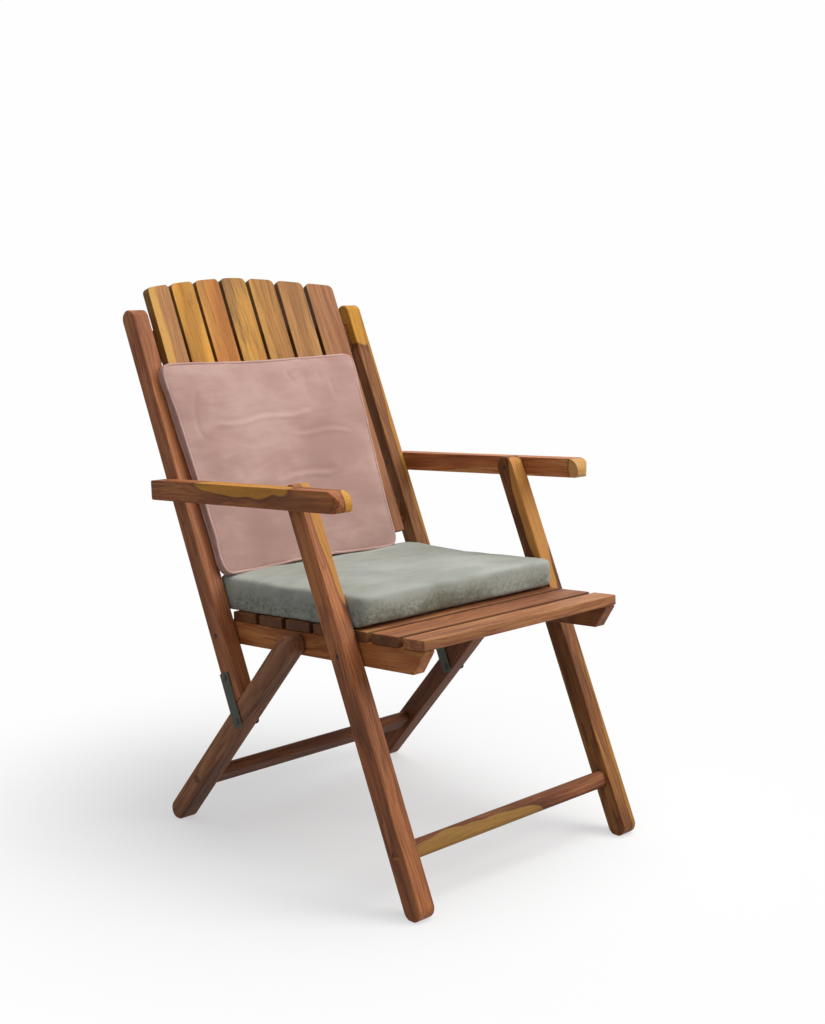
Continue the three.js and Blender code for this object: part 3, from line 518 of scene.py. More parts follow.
def plank(name, points, x_from, x_to, ease=0.0025, holes=(), floor=False):
    """A bar across x from a side view outline, with holes (point, radius, from, to)."""
    bm, caps = prism([(x_from, p.x, p.y) for p in points], [(x_to, p.x, p.y) for p in points])
    edges = list({e for cap in caps for e in cap.edges})
    if floor:
        # The foot is worn flat where it stands
        geometry = list(bm.verts) + list(bm.edges) + list(bm.faces)
        worn = bmesh.ops.bisect_plane(bm, geom=geometry, plane_co=(0, 0, 0), plane_no=(0, 0, 1),
                                      clear_inner=True)
        rim = [e for e in worn["geom_cut"] if isinstance(e, bmesh.types.BMEdge)]
        bmesh.ops.holes_fill(bm, edges=rim)
        edges = [e for e in bm.edges if len(e.link_faces) == 2 and e.calc_face_angle(0) > 1.0]
    if ease > 0:
        bmesh.ops.bevel(bm, geom=edges, offset=ease, segments=3, profile=0.5, affect="EDGES",
                        clamp_overlap=True)
    bmesh.ops.recalc_face_normals(bm, faces=bm.faces)
    made = from_bmesh(name, bm)
    if holes:
        combine(made, "DIFFERENCE", *[cylinder_x(*hole) for hole in holes])
    return finish_normals(made)


def dress(obj, material, body, *nodes):
    """Give a piece its finish, its body and the solids that it stands for."""
    obj.data.materials.clear()
    obj.data.materials.append(material)
    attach(obj, body)
    if nodes:
        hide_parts(*nodes)
    return obj


print("arc steps per quarter", ARC_STEPS)

# %% [markdown]
# Seat rails: 41 mm high, with a nose that is cut back by 28 mm underneath and a rounded tail. They
# carry the slats and all the bolts. The three bores are cut right through.

# %% Seat rails
BORE = 0.0044
RAIL_HALF = 0.0205
NOSE_TOP, NOSE_UNDER, TAIL = -0.080, -0.0520, 0.429
RAIL_FINISH = {
    "right": teak("teak_rail_right", "#74421f", "#a86638", "#c58850", SEAT_LEAN, seed=3.1,
                  streaks=0.3),
    # The left rail is painted darker than the right one: painted shade for the shaded left side
    "left": teak("teak_rail_left", "#57321f", "#7d4a2c", "#a06a40", SEAT_LEAN, seed=5.7),
}
for label, sign in SIDES.items():
    outline = rounded([
        (on_rail(NOSE_UNDER) - SEAT_UP * RAIL_HALF, 0.003),
        (on_rail(TAIL) - SEAT_UP * RAIL_HALF, 0.009),
        (on_rail(TAIL) + SEAT_UP * RAIL_HALF, 0.009),
        (on_rail(NOSE_TOP) + SEAT_UP * RAIL_HALF, 0.003),
    ])
    x_from, x_to = span(sign, *RAIL_X)
    bores = [(p, BORE, x_from - 0.01, x_to + 0.01) for p in (FRONT_PIVOT, REAR_PIVOT, BACK_PIVOT)]
    rail = plank(f"rail_{label}", outline, x_from, x_to, holes=bores)
    dress(rail, RAIL_FINISH[label], "seat_frame", f"seat_rail_{label}")
print("rails", len(rail.data.polygons), "faces each")

# %% [markdown]
# The wood of legs and stiles: the bars of the left side are painted darker than those of the right
# one, as painted shade for the shaded left side.
# Golden sapwood runs along three of them, where it can be seen in the photograph.

# %% Finishes of legs and stiles
LEG_DEPTH, REAR_DEPTH, STILE_DEPTH = 0.038, 0.037, 0.035
LEG_FACE = BACK_FRONT * (LEG_DEPTH / 2)
STILE_FACE = BACK_FRONT * (STILE_DEPTH / 2)
LEG_FINISH = {
    "right": teak("teak_front_leg_right", "#643a28", "#9c5f3a", "#c07c4c", LEAN, seed=1.3,
                  streaks=0.45, sap=[
                      (-0.252, FRONT_PIVOT + LEAN_DIR * 0.25 + LEG_FACE, (0.022, 0.03, 0.20), 0.4,
                       "#ad7838")]),
    "left": teak("teak_front_leg_left", "#54301c", "#85522c", "#b27c42", LEAN, seed=8.2,
                 streaks=0.4, sap=[
                     (0.266, FRONT_PIVOT + LEAN_DIR * 0.18 + LEG_FACE, (0.026, 0.022, 0.15), 0.4,
                      "#ab763a"),
                     (0.292, FRONT_PIVOT - LEAN_DIR * 0.36 + BACK_FRONT * 0.012,
                      (0.014, 0.03, 0.30), 0.4, "#94682f")]),
}
REAR_FINISH = {
    "right": teak("teak_rear_leg_right", "#553627", "#865538", "#aa7550", REAR_LEAN, seed=2.4,
                  streaks=0.5),
    "left": teak("teak_rear_leg_left", "#4a291a", "#744226", "#99623a", REAR_LEAN, seed=6.6,
                 streaks=0.4),
}
STILE_FINISH = {
    "right": teak("teak_stile_right", "#70402a", "#a5643c", "#bd835c", LEAN, seed=4.5),
    "left": teak("teak_stile_left", "#5d3720", "#936037", "#b88350", LEAN, seed=9.9,
                 streaks=0.3, sap=[
                     (0.262, BACK_PIVOT + LEAN_DIR * 0.65 + STILE_FACE, (0.05, 0.05, 0.12), 0.3,
                      "#b07c2c"),
                     (0.290, BACK_PIVOT + LEAN_DIR * 0.30 + STILE_FACE, (0.011, 0.03, 0.28), 0.5,
                      "#a0702f")]),
}
print("finishes:", ", ".join(m.name for m in bpy.data.materials if m.name.startswith("teak")))

# %% [markdown]
# Legs and stiles: the front legs and the back stiles lean back together, the rear legs lean the
# other way. Feet and tops are fully rounded. The foot of each stile is cut to the slope of the
# rear leg that it rests on, and round stretcher tenons show as discs on the outside.

# %% Legs and stiles
TENON_HOLE, TENON = 0.0079, 0.0075
RIVET_HOLE = 0.0034
FRONT_LEG_LOW = 0.4282  # from its pivot down to the middle of the rounded foot
FRONT_LEG_TOP = 0.002  # from the arm bolt up to the middle of the rounded top
STILE_HIGH = 0.611  # from the back pivot up to the middle of the rounded top
STILE_REST = 0.001  # between the rear leg and the foot of the stile
FRONT_STRETCHER_AT = FRONT_PIVOT - LEAN_DIR * 0.337
REAR_STRETCHER_AT = REAR_PIVOT + REAR_DIR * 0.3865


def meet(point, direction, base, line):
    """Where a line through a point meets another line."""
    between = base - point
    share = between.cross(line) / direction.cross(line)
    return point + direction * share


for label, sign in SIDES.items():
    x_from, x_to = span(sign, *LEG_X)
    through = (x_from - 0.01, x_to + 0.01)
    foot = FRONT_PIVOT - LEAN_DIR * (FRONT_LEG_LOW + LEG_DEPTH / 2)
    length = FRONT_LEG_LOW + ARM_HEIGHT + FRONT_LEG_TOP + LEG_DEPTH
    outline = rounded(bar_corners(foot, LEAN_DIR, length, LEG_DEPTH, LEG_DEPTH / 2))
    leg = plank(f"leg_front_{label}", outline, x_from, x_to, 0.003, [
        (FRONT_PIVOT, BORE, *through), (ARM_FRONT_PIVOT, BORE, *through),
        (FRONT_STRETCHER_AT, TENON_HOLE, *through)], floor=True)
    dress(leg, LEG_FINISH[label], "front_legs", f"front_leg_{label}")

    top = REAR_PIVOT - REAR_DIR * (REAR_DEPTH / 2)
    length = (REAR_FOOT - REAR_PIVOT).length + REAR_DEPTH
    outline = rounded(bar_corners(top, REAR_DIR, length, REAR_DEPTH, REAR_DEPTH / 2))
    blind = span(sign, LEG_X[0] - 0.01, LEG_X[0] + 0.027)
    leg = plank(f"leg_rear_{label}", outline, x_from, x_to, 0.003, [
        (REAR_PIVOT, BORE, *blind), (REAR_STRETCHER_AT, TENON_HOLE, *through)], floor=True)
    dress(leg, REAR_FINISH[label], "rear_legs", f"rear_leg_{label}")

    slope = REAR_PIVOT + turned(REAR_DIR) * (REAR_DEPTH / 2 + STILE_REST)
    top = BACK_PIVOT + LEAN_DIR * (STILE_HIGH + STILE_DEPTH / 2)
    outline = rounded([
        (meet(BACK_PIVOT - STILE_FACE, LEAN_DIR, slope, REAR_DIR), 0),
        (top - STILE_FACE, STILE_DEPTH / 2),
        (top + STILE_FACE, STILE_DEPTH / 2),
        (meet(BACK_PIVOT + STILE_FACE, LEAN_DIR, slope, REAR_DIR), 0),
    ])
    stile = plank(f"stile_{label}", outline, x_from, x_to, 0.0025, [
        (BACK_PIVOT, BORE, *through), (ARM_REAR_PIVOT, BORE, *through),
        (STRAP_HIGH, RIVET_HOLE, *through)])
    dress(stile, STILE_FINISH[label], "back", f"back_stile_{label}")
print("stile foot at", [round(v, 4) for v in outline[0]])

# %% [markdown]
# Armrests: a straight bar with a deep rounding on top of the nose and a rounded outer corner in
# plan, so that nothing catches a sleeve. The plan corner is cut with a second prism, and then
# all the edges are eased at once.

# %% Armrests
ARM_HALF = 0.01775
ARM_NOSE, ARM_TAIL = 0.151, 0.022  # past the front and the rear bolt
ARM_FINISH = {
    "right": teak("teak_armrest_right", "#5a3624", "#95552f", "#b87a4a", ARM_LEAN, seed=7.4,
                  streaks=0.55, sap=[
                      (-0.320, ARM_FRONT_PIVOT + ARM_DIR * 0.105 + ARM_UP * 0.019,
                       (0.05, 0.024, 0.13), 0.6, "#b27a30"),
                      (-0.289, ARM_FRONT_PIVOT - ARM_DIR * 0.148, (0.017, 0.04, 0.024), 0.1,
                       "#bd8834")]),
    "left": teak("teak_armrest_left", "#744028", "#b0683c", "#cc9862", ARM_LEAN, seed=2.9,
                 streaks=0.4, sap=[
                     (0.300, ARM_FRONT_PIVOT - ARM_DIR * 0.154 + ARM_UP * 0.004,
                      (0.05, 0.040, 0.027), 0.15, "#b08650")]),
}
for label, sign in SIDES.items():
    nose = ARM_FRONT_PIVOT - ARM_DIR * ARM_NOSE
    tail = ARM_REAR_PIVOT + ARM_DIR * ARM_TAIL
    outline = rounded([
        (nose - ARM_UP * ARM_HALF, 0.009), (tail - ARM_UP * ARM_HALF, 0.004),
        (tail + ARM_UP * ARM_HALF, 0.004), (nose + ARM_UP * ARM_HALF, 0.024),
    ])
    arm = plank(f"arm_{label}", outline, *span(sign, *ARM_X), 0)
    inner, outer = sign * (ARM_X[0] - 0.005), sign * ARM_X[1]
    plan = rounded([
        (Vector((inner, nose.x - 0.0003)), 0), (Vector((outer, nose.x)), 0.016),
        (Vector((outer, tail.x + 0.005)), 0), (Vector((inner, tail.x + 0.005)), 0),
    ])
    rings = [[(p.x, p.y, z) for p in plan] for z in (0.5, 0.8)]
    combine(arm, "INTERSECT", from_bmesh("cutter", prism(*rings)[0]))
    ease_edges(arm, 0.003, 40)
    blind = span(sign, ARM_X[0] - 0.01, ARM_X[0] + 0.026)
    bores = [cylinder_x(p, BORE, *blind) for p in (ARM_FRONT_PIVOT, ARM_REAR_PIVOT)]
    combine(arm, "DIFFERENCE", *bores)
    finish_normals(arm)
    dress(arm, ARM_FINISH[label], f"arm_{label}", f"armrest_{label}")
print("arm faces", len(arm.data.polygons))

# %% [markdown]
# Stretchers: rounded bars between the two sides. Each ends in a round tenon that shows on the
# outer face of the leg.

# %% Stretchers
STRETCHER_FINISH = {
    "front": teak("teak_front_stretcher", "#4f2b1b", "#7b462a", "#9c6740", along_x=True,
                  seed=11.3, streaks=0.4, sap=[
                      (-0.10, FRONT_STRETCHER_AT - Vector((0.0, 0.012)), (0.026, 0.05, 0.23), 0.5,
                       "#8d6832")]),
    "rear": teak("teak_rear_stretcher", "#482719", "#683c25", "#88532d", along_x=True, seed=12.8),
}
CROSS_FINISH = teak("teak_cross_rails", "#553020", "#7d4b2e", "#9b6439", along_x=True, seed=14.2)
INSIDE = LEG_X[0] - 0.0003
TENON_END = LEG_X[1] - 0.0004
for label, at, direction, height, thick, body in (
    ("front", FRONT_STRETCHER_AT, LEAN_DIR, 0.031, 0.022, "front_legs"),
    ("rear", REAR_STRETCHER_AT, REAR_DIR, 0.038, 0.023, "rear_legs"),
):
    outline = rounded(bar_corners(at - direction * height / 2, direction, height, thick, 0.008))
    bar = plank(f"bar_{label}", outline, -INSIDE, INSIDE, 0.0016)
    combine(bar, "UNION", cylinder_x(at, TENON, -TENON_END, TENON_END))
    finish_normals(bar)
    dress(bar, STRETCHER_FINISH[label], body, f"{label}_stretcher")
print("stretchers at heights", round(FRONT_STRETCHER_AT.y, 3), round(REAR_STRETCHER_AT.y, 3))

# %% [markdown]
# The back is hollow from side to side: its slats stand on a curve of 975 mm radius. So the two
# cross rails are sawn to that curve. Their flat tenons are hidden in the stiles.

# %% Cross rails
CURVE = 0.975
DEEPEST = 0.0158
SLAT_WIDE, SLAT_THICK = 0.0608, 0.016
SLAT_REAR = math.hypot(CURVE + SLAT_THICK, SLAT_WIDE / 2)
RAIL_FACES = (SLAT_REAR + 0.0003, SLAT_REAR + 0.0143)
CURVE_STEPS = 24


def curved_rail(name, reach, height):
    """Bar between the stiles that follows the curve of the back."""
    plan = []
    for radius, turn in zip(RAIL_FACES, (1, -1)):
        last = math.asin(INSIDE / radius)
        for k in range(CURVE_STEPS + 1):
            angle = turn * last * (2 * k / CURVE_STEPS - 1)
            plan.append((radius * math.sin(angle), CURVE - DEEPEST - radius * math.cos(angle)))
    base = BACK_PIVOT + LEAN_DIR * (reach - height / 2)
    rings = []
    for up in (0, height):
        spots = [(x, base + LEAN_DIR * up + BACK_FRONT * forward) for x, forward in plan]
        rings.append([(x, at.x, at.y) for x, at in spots])
    made = from_bmesh(name, prism(*rings)[0])
    ease_edges(made, 0.0016, 50)
    return finish_normals(made)


for label, reach, height in (("lower", 0.172, 0.038), ("upper", 0.560, 0.060)):
    bar = curved_rail(f"cross_{label}", reach, height)
    dress(bar, CROSS_FINISH, "back", f"back_rail_{label}")
print("cross rails", round(RAIL_FACES[1] - RAIL_FACES[0], 4), "thick")

# %% [markdown]
# Slats repeat, so Geometry Nodes make them. The sums of the tree come first: each line below is
# one maths node that takes two numbers and gives its result a name. They work out the place of a
# board in its row, the shallow arch and the round shoulders at its far end, and the swing of the
# board round an axis in front of a hollow back.

# %% Sums of the slat tree
SLAT_SUMS = [
    ("gaps", "SUBTRACT", "Count", 1.0),
    ("row", "MULTIPLY", "gaps", "Pitch"),
    ("half row", "MULTIPLY", "row", 0.5),
    ("start", "MULTIPLY", "half row", -1.0),
    # Place along the board from 0 to 1, and across it from -0.5 to 0.5
    ("along", "ADD", "y", 0.5),
    ("steps", "MULTIPLY", "board", "Pitch"),
    ("middle", "SUBTRACT", "steps", "half row"),
    ("aside", "SUBTRACT", "x", "middle"),
    ("across", "DIVIDE", "aside", "Width"),
    # The shoulders are quarter circles
    ("off", "ABSOLUTE", "aside", 0.0),
    ("half width", "MULTIPLY", "Width", 0.5),
    ("inner", "SUBTRACT", "half width", "Shoulder"),
    ("past", "SUBTRACT", "off", "inner"),
    ("over", "MAXIMUM", "past", 0.0),
    ("shoulder square", "MULTIPLY", "Shoulder", "Shoulder"),
    ("over square", "MULTIPLY", "over", "over"),
    ("rest", "SUBTRACT", "shoulder square", "over square"),
    ("rest", "MAXIMUM", "rest", 0.0),
    ("rise", "SQRT", "rest", 0.0),
    ("dip", "SUBTRACT", "Shoulder", "rise"),
    # The arch runs over the whole row
    ("half span", "ADD", "half row", "half width"),
    ("out", "ABSOLUTE", "x", 0.0),
    ("share", "DIVIDE", "out", "half span"),
    ("bow", "POWER", "share", 1.6),
    ("arch", "MULTIPLY", "bow", "Arch Drop"),
    ("full", "SUBTRACT", "Length", "arch"),
    ("reach", "SUBTRACT", "full", "dip"),
    ("far", "MULTIPLY", "reach", "along"),
    # Hollow row: every board swings so that its front face lies on the curve
    ("rear face", "ADD", "Radius", "Thickness"),
    ("behind", "SUBTRACT", "rear face", "z"),
    ("angle", "DIVIDE", "middle", "Radius"),
    ("sine", "SINE", "angle", 0.0),
    ("cosine", "COSINE", "angle", 0.0),
    ("behind sine", "MULTIPLY", "behind", "sine"),
    ("behind cosine", "MULTIPLY", "behind", "cosine"),
    ("aside sine", "MULTIPLY", "aside", "sine"),
    ("aside cosine", "MULTIPLY", "aside", "cosine"),
    ("bent x", "ADD", "behind sine", "aside cosine"),
    ("drop", "SUBTRACT", "Radius", "behind cosine"),
    ("bent z", "ADD", "drop", "aside sine"),
]
print("the slat tree works out", len(SLAT_SUMS), "numbers")

# %% [markdown]
# One tree serves the seat and the back: it lays a grid board on each point of a row, numbers the
# boards, moves their far ends onto the arch, gives them thickness and bends the row where it is
# hollow. It notes the board's number, the place across and along it, and the sides of the boards,
# on which the finish paints shade.

# %% Slat tree
SLAT_SOCKETS = [
    ("Count", "Int", 7), ("Pitch", "Float", 0.0688), ("Width", "Float", 0.0608),
    ("Length", "Float", 0.569), ("Thickness", "Float", 0.016), ("Arch Drop", "Float", 0.031),
    ("Shoulder", "Float", 0.010), ("Hollow", "Bool", False), ("Radius", "Float", 0.975),
    ("Finish", "Material", None),
]


def slat_tree():
    """Node tree: a row of boards whose far ends follow one arch."""
    tree = bpy.data.node_groups.new("slat_row", "GeometryNodeTree")
    tree.interface.new_socket("Slats", in_out="OUTPUT", socket_type="NodeSocketGeometry")
    for name, kind, value in SLAT_SOCKETS:
        made = tree.interface.new_socket(name, in_out="INPUT", socket_type=f"NodeSocket{kind}")
        if value is not None:
            made.default_value = value
    known = {socket.name: socket for socket in add(tree, "NodeGroupInput", out=None).outputs}
    place = add(tree, "ShaderNodeSeparateXYZ", (add(tree, "GeometryNodeInputPosition"),), None)
    known.update(zip("xyz", place.outputs))
    known["board"] = add(tree, "GeometryNodeInputNamedAttribute", {"Name": "board"},
                         data_type="FLOAT")
    for result, operation, *pair in SLAT_SUMS:
        known[result] = add(tree, MATH, [known.get(v, v) for v in pair], operation=operation)

    start = add(tree, "ShaderNodeCombineXYZ", (known["start"],))
    offset = add(tree, "ShaderNodeCombineXYZ", (known["Pitch"],))
    points = add(tree, "GeometryNodeMeshLine", {
        "Count": known["Count"], "Start Location": start, "Offset": offset})
    board = add(tree, "GeometryNodeMeshGrid", {
        "Size X": known["Width"], "Size Y": 1.0, "Vertices X": 33, "Vertices Y": 2})
    rows = add(tree, "GeometryNodeInstanceOnPoints", {"Points": points, "Instance": board})
    rows = add(tree, "GeometryNodeStoreNamedAttribute", {
        "Geometry": rows, "Name": "board", "Value": add(tree, "GeometryNodeInputIndex")},
        data_type="FLOAT", domain="INSTANCE")
    boards = add(tree, "GeometryNodeRealizeInstances", (rows,))
    for label in ("across", "along"):
        boards = add(tree, "GeometryNodeStoreNamedAttribute", {
            "Geometry": boards, "Name": label, "Value": known[label]},
            data_type="FLOAT", domain="POINT")
    target = add(tree, "ShaderNodeCombineXYZ", (known["x"], known["far"], 0.0))
    boards = add(tree, "GeometryNodeSetPosition", {"Geometry": boards, "Position": target})

    # Thickness: the pushed-out face and sides, closed by the flipped first face
    pushed = add(tree, "GeometryNodeExtrudeMesh", {
        "Mesh": boards, "Offset Scale": known["Thickness"], "Individual": False}, None).outputs
    # The sides are marked, and the finish paints shade on them
    shaded_sides = add(tree, "GeometryNodeStoreNamedAttribute", {
        "Geometry": pushed["Mesh"], "Selection": pushed["Side"], "Name": "shaded_sides", "Value": 1.0},
        data_type="FLOAT", domain="FACE")
    both = add(tree, "GeometryNodeJoinGeometry", out=None)
    tree.links.new(shaded_sides, both.inputs[0])
    tree.links.new(add(tree, "GeometryNodeFlipFaces", {"Mesh": boards}), both.inputs[0])
    closed = add(tree, "GeometryNodeMergeByDistance", {
        "Geometry": both.outputs[0], "Distance": 1e-5})

    swung = add(tree, "ShaderNodeCombineXYZ", (known["bent x"], known["y"], known["bent z"]))
    bent = add(tree, "GeometryNodeSetPosition", {
        "Geometry": closed, "Selection": known["Hollow"], "Position": swung})
    coated = add(tree, "GeometryNodeSetMaterial", {"Geometry": bent, "Material": known["Finish"]})
    add(tree, "NodeGroupOutput", (coated,), None)
    return tree


SLAT_TREE = slat_tree()
print("slat tree has", len(SLAT_TREE.nodes), "nodes")

# %% [markdown]
# A row is an empty mesh with the tree on it. Its sizes are set by the identifiers of the sockets,
# the edges are eased by a bevel, and the row is laid in its place on the chair.

# %% A row of slats
def slat_row(name, place, finish, ease, **sizes):
    """Run the slat tree with its sizes set by socket identifier, ease the edges and place it."""
    made = link(name, bpy.data.meshes.new(name))
    row = made.modifiers.new("slats", "NODES")
    row.node_group = SLAT_TREE
    keys = {item.name: item.identifier for item in SLAT_TREE.interface.items_tree
            if item.item_type == "SOCKET" and item.in_out == "INPUT"}
    for key, value in sizes.items():
        row[keys[key.replace("_", " ").title()]] = value
    row[keys["Finish"]] = finish
    ease_edges(made, ease, 50)
    made.data.transform(place)
    return finish_normals(made)


print("sizes of a row:", ", ".join(name for name, kind, value in SLAT_SOCKETS))

# %% [markdown]
# Back slats stand on the front of the cross rails, 61 mm wide with gaps of 8 mm. They swing round
# with the curve of the rails, and their tops follow one arch. No two are the same colour: tan,
# golden, orange, grey-brown and pinkish brown, as the boards came off the pile.

# %% Back slats
BACK_BOARDS = [
    ("#8c5c38", "#bb8a58", "#cb9b4c", (-0.9, -0.1, -0.15)),
    ("#b97a2c", "#dba64c", "#c47b2e", (0.4, -0.5, -0.35)),
    ("#ab662e", "#cb8845", "#cf964a", (-0.7, 0.2, -0.35)),
    ("#a87236", "#cf9a47", "#765339", (-0.5, 0.9, -0.55)),
    ("#875a32", "#b58144", "#c2914a", (-0.7, -0.2, -0.22)),
    ("#96653b", "#c28e56", "#c8985a", (-0.8, -0.2, -0.45)),
    ("#8a573a", "#b07b52", "#c39554", (-0.9, -0.3, -0.45)),
]
BACK_FINISH = teak("teak_back_slats", "#5a3620", "#b98452", "#d0a060", LEAN, seed=20.3, heart=0.35,
                   boards=BACK_BOARDS)
origin = BACK_PIVOT + LEAN_DIR * 0.132 - BACK_FRONT * DEEPEST
axes = Matrix((
    (1, 0, 0, 0),
    (0, LEAN_DIR.x, BACK_FRONT.x, origin.x),
    (0, LEAN_DIR.y, BACK_FRONT.y, origin.y),
    (0, 0, 0, 1),
))
back_slats = slat_row("back_slats", axes, BACK_FINISH, 0.0012, count=7, pitch=0.0688,
                      width=SLAT_WIDE, length=0.569, thickness=SLAT_THICK, arch_drop=0.031,
                      shoulder=0.010, hollow=True, radius=CURVE)
dress(back_slats, BACK_FINISH, "back", *[f"back_slat_{i}" for i in range(1, 8)])
print("back slats", [round(v, 3) for v in back_slats.dimensions])

# %% [markdown]
# Seat slats lie across the rails. The front one is narrower and flush with the nose of the
# rails. The same tree makes the six wide ones in a row, and once more the single front one.

# %% Seat slats
SEAT_BOARDS = [
    ("#7a4528", "#b37a4a", "#c28d52", (0.3, 0.5, -0.3)),
    ("#824b2c", "#b98150", "#6d3c24", (0.2, -0.6, -0.3)),
    ("#74412a", "#a87148", "#bd8850", (-0.4, 0.3, -0.4)),
    ("#7b472b", "#b1784a", "#68391f", (0.3, 0.5, -0.4)),
    ("#70402a", "#a36a44", "#b98450", (0.3, -0.5, -0.4)),
    ("#774430", "#aa7148", "#6a3b25", (0.3, 0.5, -0.4)),
]
SEAT_FINISH = teak("teak_seat_slats", "#5a3320", "#a06a42", "#bd8856", along_x=True, seed=31.7,
                   streaks=0.4, heart=0.4, boards=SEAT_BOARDS)
FRONT_SLAT_FINISH = teak("teak_front_slat", "#6e3f28", "#9b6440", "#b98556", along_x=True,
                         seed=37.2, heart=0.3)
LIFT = RAIL_HALF + 0.0003
SEAT_PITCH = 0.072 * math.sqrt(1 + SEAT_FALL ** 2)
SEAT_ROW = {"length": 2 * RAIL_X[1], "thickness": 0.018, "arch_drop": 0.0, "shoulder": 0.0}


def seat_axes(y_middle):
    """Boards run along x, the row runs backwards along the seat, thickness points up."""
    at = on_rail(y_middle) + SEAT_UP * LIFT
    return Matrix((
        (0, 1, 0, -RAIL_X[1]),
        (-SEAT_DIR.x, 0, SEAT_UP.x, at.x),
        (-SEAT_DIR.y, 0, SEAT_UP.y, at.y),
        (0, 0, 0, 1),
    ))


wide_row = slat_row("seat_slats", seat_axes(-0.0195 + 0.180) @ Matrix.Translation((-0.031, 0, 0)),
                    SEAT_FINISH, 0.0026, count=6, pitch=SEAT_PITCH, width=0.062, **SEAT_ROW)
dress(wide_row, SEAT_FINISH, "seat_frame", *[f"seat_slat_{i}" for i in range(2, 8)])
front_slat = slat_row("seat_slat_front", seat_axes(NOSE_TOP) @ Matrix.Translation((-0.0245, 0, 0)),
                      FRONT_SLAT_FINISH, 0.0026, count=1, pitch=0.072, width=0.049, **SEAT_ROW)
dress(front_slat, FRONT_SLAT_FINISH, "seat_frame", "seat_slat_1")
for made, node in ((wide_row, "seat_slat_2"), (front_slat, "seat_slat_1")):
    low = min(v.co.y for v in made.data.vertices)

# %% [markdown]
# Steel straps, bolts, washers and rivets: plain steel bar that has weathered to a dull
# grey-green. The finish is a rough metal whose colour and gloss wander with two noises, patches
# of 11 mm and specks of 1 mm. Bolts, washers and rivets keep their solids, and the straps get
# softer edges.

# %% Steel
def weathered_steel(name, base, bloom):
    """Dull steel with a patchy bloom."""
    material, tree, shader = new_material(name)
    place = add(tree, "ShaderNodeTexCoord", out="Object")
    patch = add(tree, NOISE, {"Vector": place, "Scale": 90.0, "Detail": 4.0, "Roughness": 0.6})
    speck = add(tree, NOISE, {"Vector": place, "Scale": 900.0})
    band = add(tree, RAMP, (patch,), None)
    set_stops(band.color_ramp, [(0.35, hex_linear(base)), (0.7, hex_linear(bloom))])
    share = add(tree, RANGE, (speck, 0.55, 0.75, 0.0, 0.5), **SMOOTH)
    dirt = hex_linear("#2a241d")
    colour = add(tree, MIX, {0: share, 6: band.outputs["Color"], 7: dirt}, 2, **COLOURS)
    rough = add(tree, RANGE, (patch, 0.3, 0.7, 0.48, 0.72), **SMOOTH)
    bump = add(tree, "ShaderNodeBump", {"Height": speck, "Strength": 0.25, "Distance": 0.0003})
    fill(tree, shader, {"Base Color": colour, "Roughness": rough, "Metallic": 0.45, "Normal": bump})
    return material


STRAP_STEEL = weathered_steel("weathered_strap_steel", "#34352f", "#4b4a41")
BOLT_STEEL = weathered_steel("dark_bolt_steel", "#332e28", "#47423c")
for name, node in frame["nodes"].items():
    if name.startswith(("pivot_bolt", "arm_bolt", "washer", "strap_rivet")):
        node.data.materials.clear()
        node.data.materials.append(BOLT_STEEL)

STRAP_HALF = 0.012
STRAP_LAYERS = {
    "outer": (LEG_X[1] + 0.0003, LEG_X[1] + 0.0025),
    "inner": (LEG_X[0] - 0.0025, LEG_X[0] - 0.0003),
}
for label, sign in SIDES.items():
    for layer, xs in STRAP_LAYERS.items():
        low = STRAP_LOW - LEAN_DIR * STRAP_HALF
        high = STRAP_HIGH + LEAN_DIR * 0.0085
        side = BACK_FRONT * STRAP_HALF
        outline = rounded([
            (low - side, 0.008), (high - side, 0.0015), (high + side, 0.0015), (low + side, 0.008)])
        x_from, x_to = span(sign, *xs)
        holes = [(p, RIVET_HOLE, x_from - 0.005, x_to + 0.005) for p in (STRAP_HIGH, STRAP_LOW)]
        bar = plank(f"strap_{layer}_bar_{label}", outline, x_from, x_to, 0.0005, holes)
        dress(bar, STRAP_STEEL, f"straps_{label}", f"strap_{layer}_{label}")
print("strap", [round(v * 1000, 1) for v in bar.dimensions], "mm")

# %% [markdown]
# Cushions: both are box cushions, two panels joined by a band, filled with foam. Each starts as
# a plain box in its own axes, across, along and outwards, and is cut into small even faces.

# %% Cushion shell
import numpy as np


def plan_loop(wide, deep, corner, draw_in, spacing=0.006):
    """Plan of a cushion: round corners, sides drawn in between them."""
    points = []
    turns = ((1, -1), (1, 1), (-1, 1), (-1, -1))
    for turn, (su, sv) in enumerate(turns):
        centre = Vector((su * (wide / 2 - corner), sv * (deep / 2 - corner)))
        first = -math.pi / 2 + turn * math.pi / 2
        steps = max(4, round(corner * math.pi / 2 / spacing))
        for k in range(steps + 1):
            angle = first + math.pi / 2 * k / steps
            points.append(centre + corner * Vector((math.cos(angle), math.sin(angle))))
        run = (deep if turn % 2 == 0 else wide) - 2 * corner
        out = first + math.pi / 2
        last = points[-1].copy()
        steps = round(run / spacing)
        for k in range(1, steps):
            share = k / steps
            pull = draw_in * math.sin(math.pi * share)
            points.append(last + Vector((-math.sin(out) * run * share - math.cos(out) * pull,
                                         math.cos(out) * run * share - math.sin(out) * pull)))
    return points


def shell(name, loop, thick, voxel):
    """Box over a plan loop, remeshed to small even faces."""
    bm = bmesh.new()
    low = [bm.verts.new((p.x, p.y, 0)) for p in loop]
    high = [bm.verts.new((p.x, p.y, thick)) for p in loop]
    bm.faces.new(list(reversed(low)))
    bm.faces.new(high)
    for i in range(len(loop)):
        j = (i + 1) % len(loop)
        bm.faces.new((low[i], low[j], high[j], high[i]))
    bmesh.ops.recalc_face_normals(bm, faces=bm.faces)
    mesh = bpy.data.meshes.new(name)
    bm.to_mesh(mesh)
    bm.free()
    made = link(name, mesh)
    skin = made.modifiers.new("skin", "REMESH")
    skin.mode = "VOXEL"
    skin.voxel_size = voxel
    return settle(made)


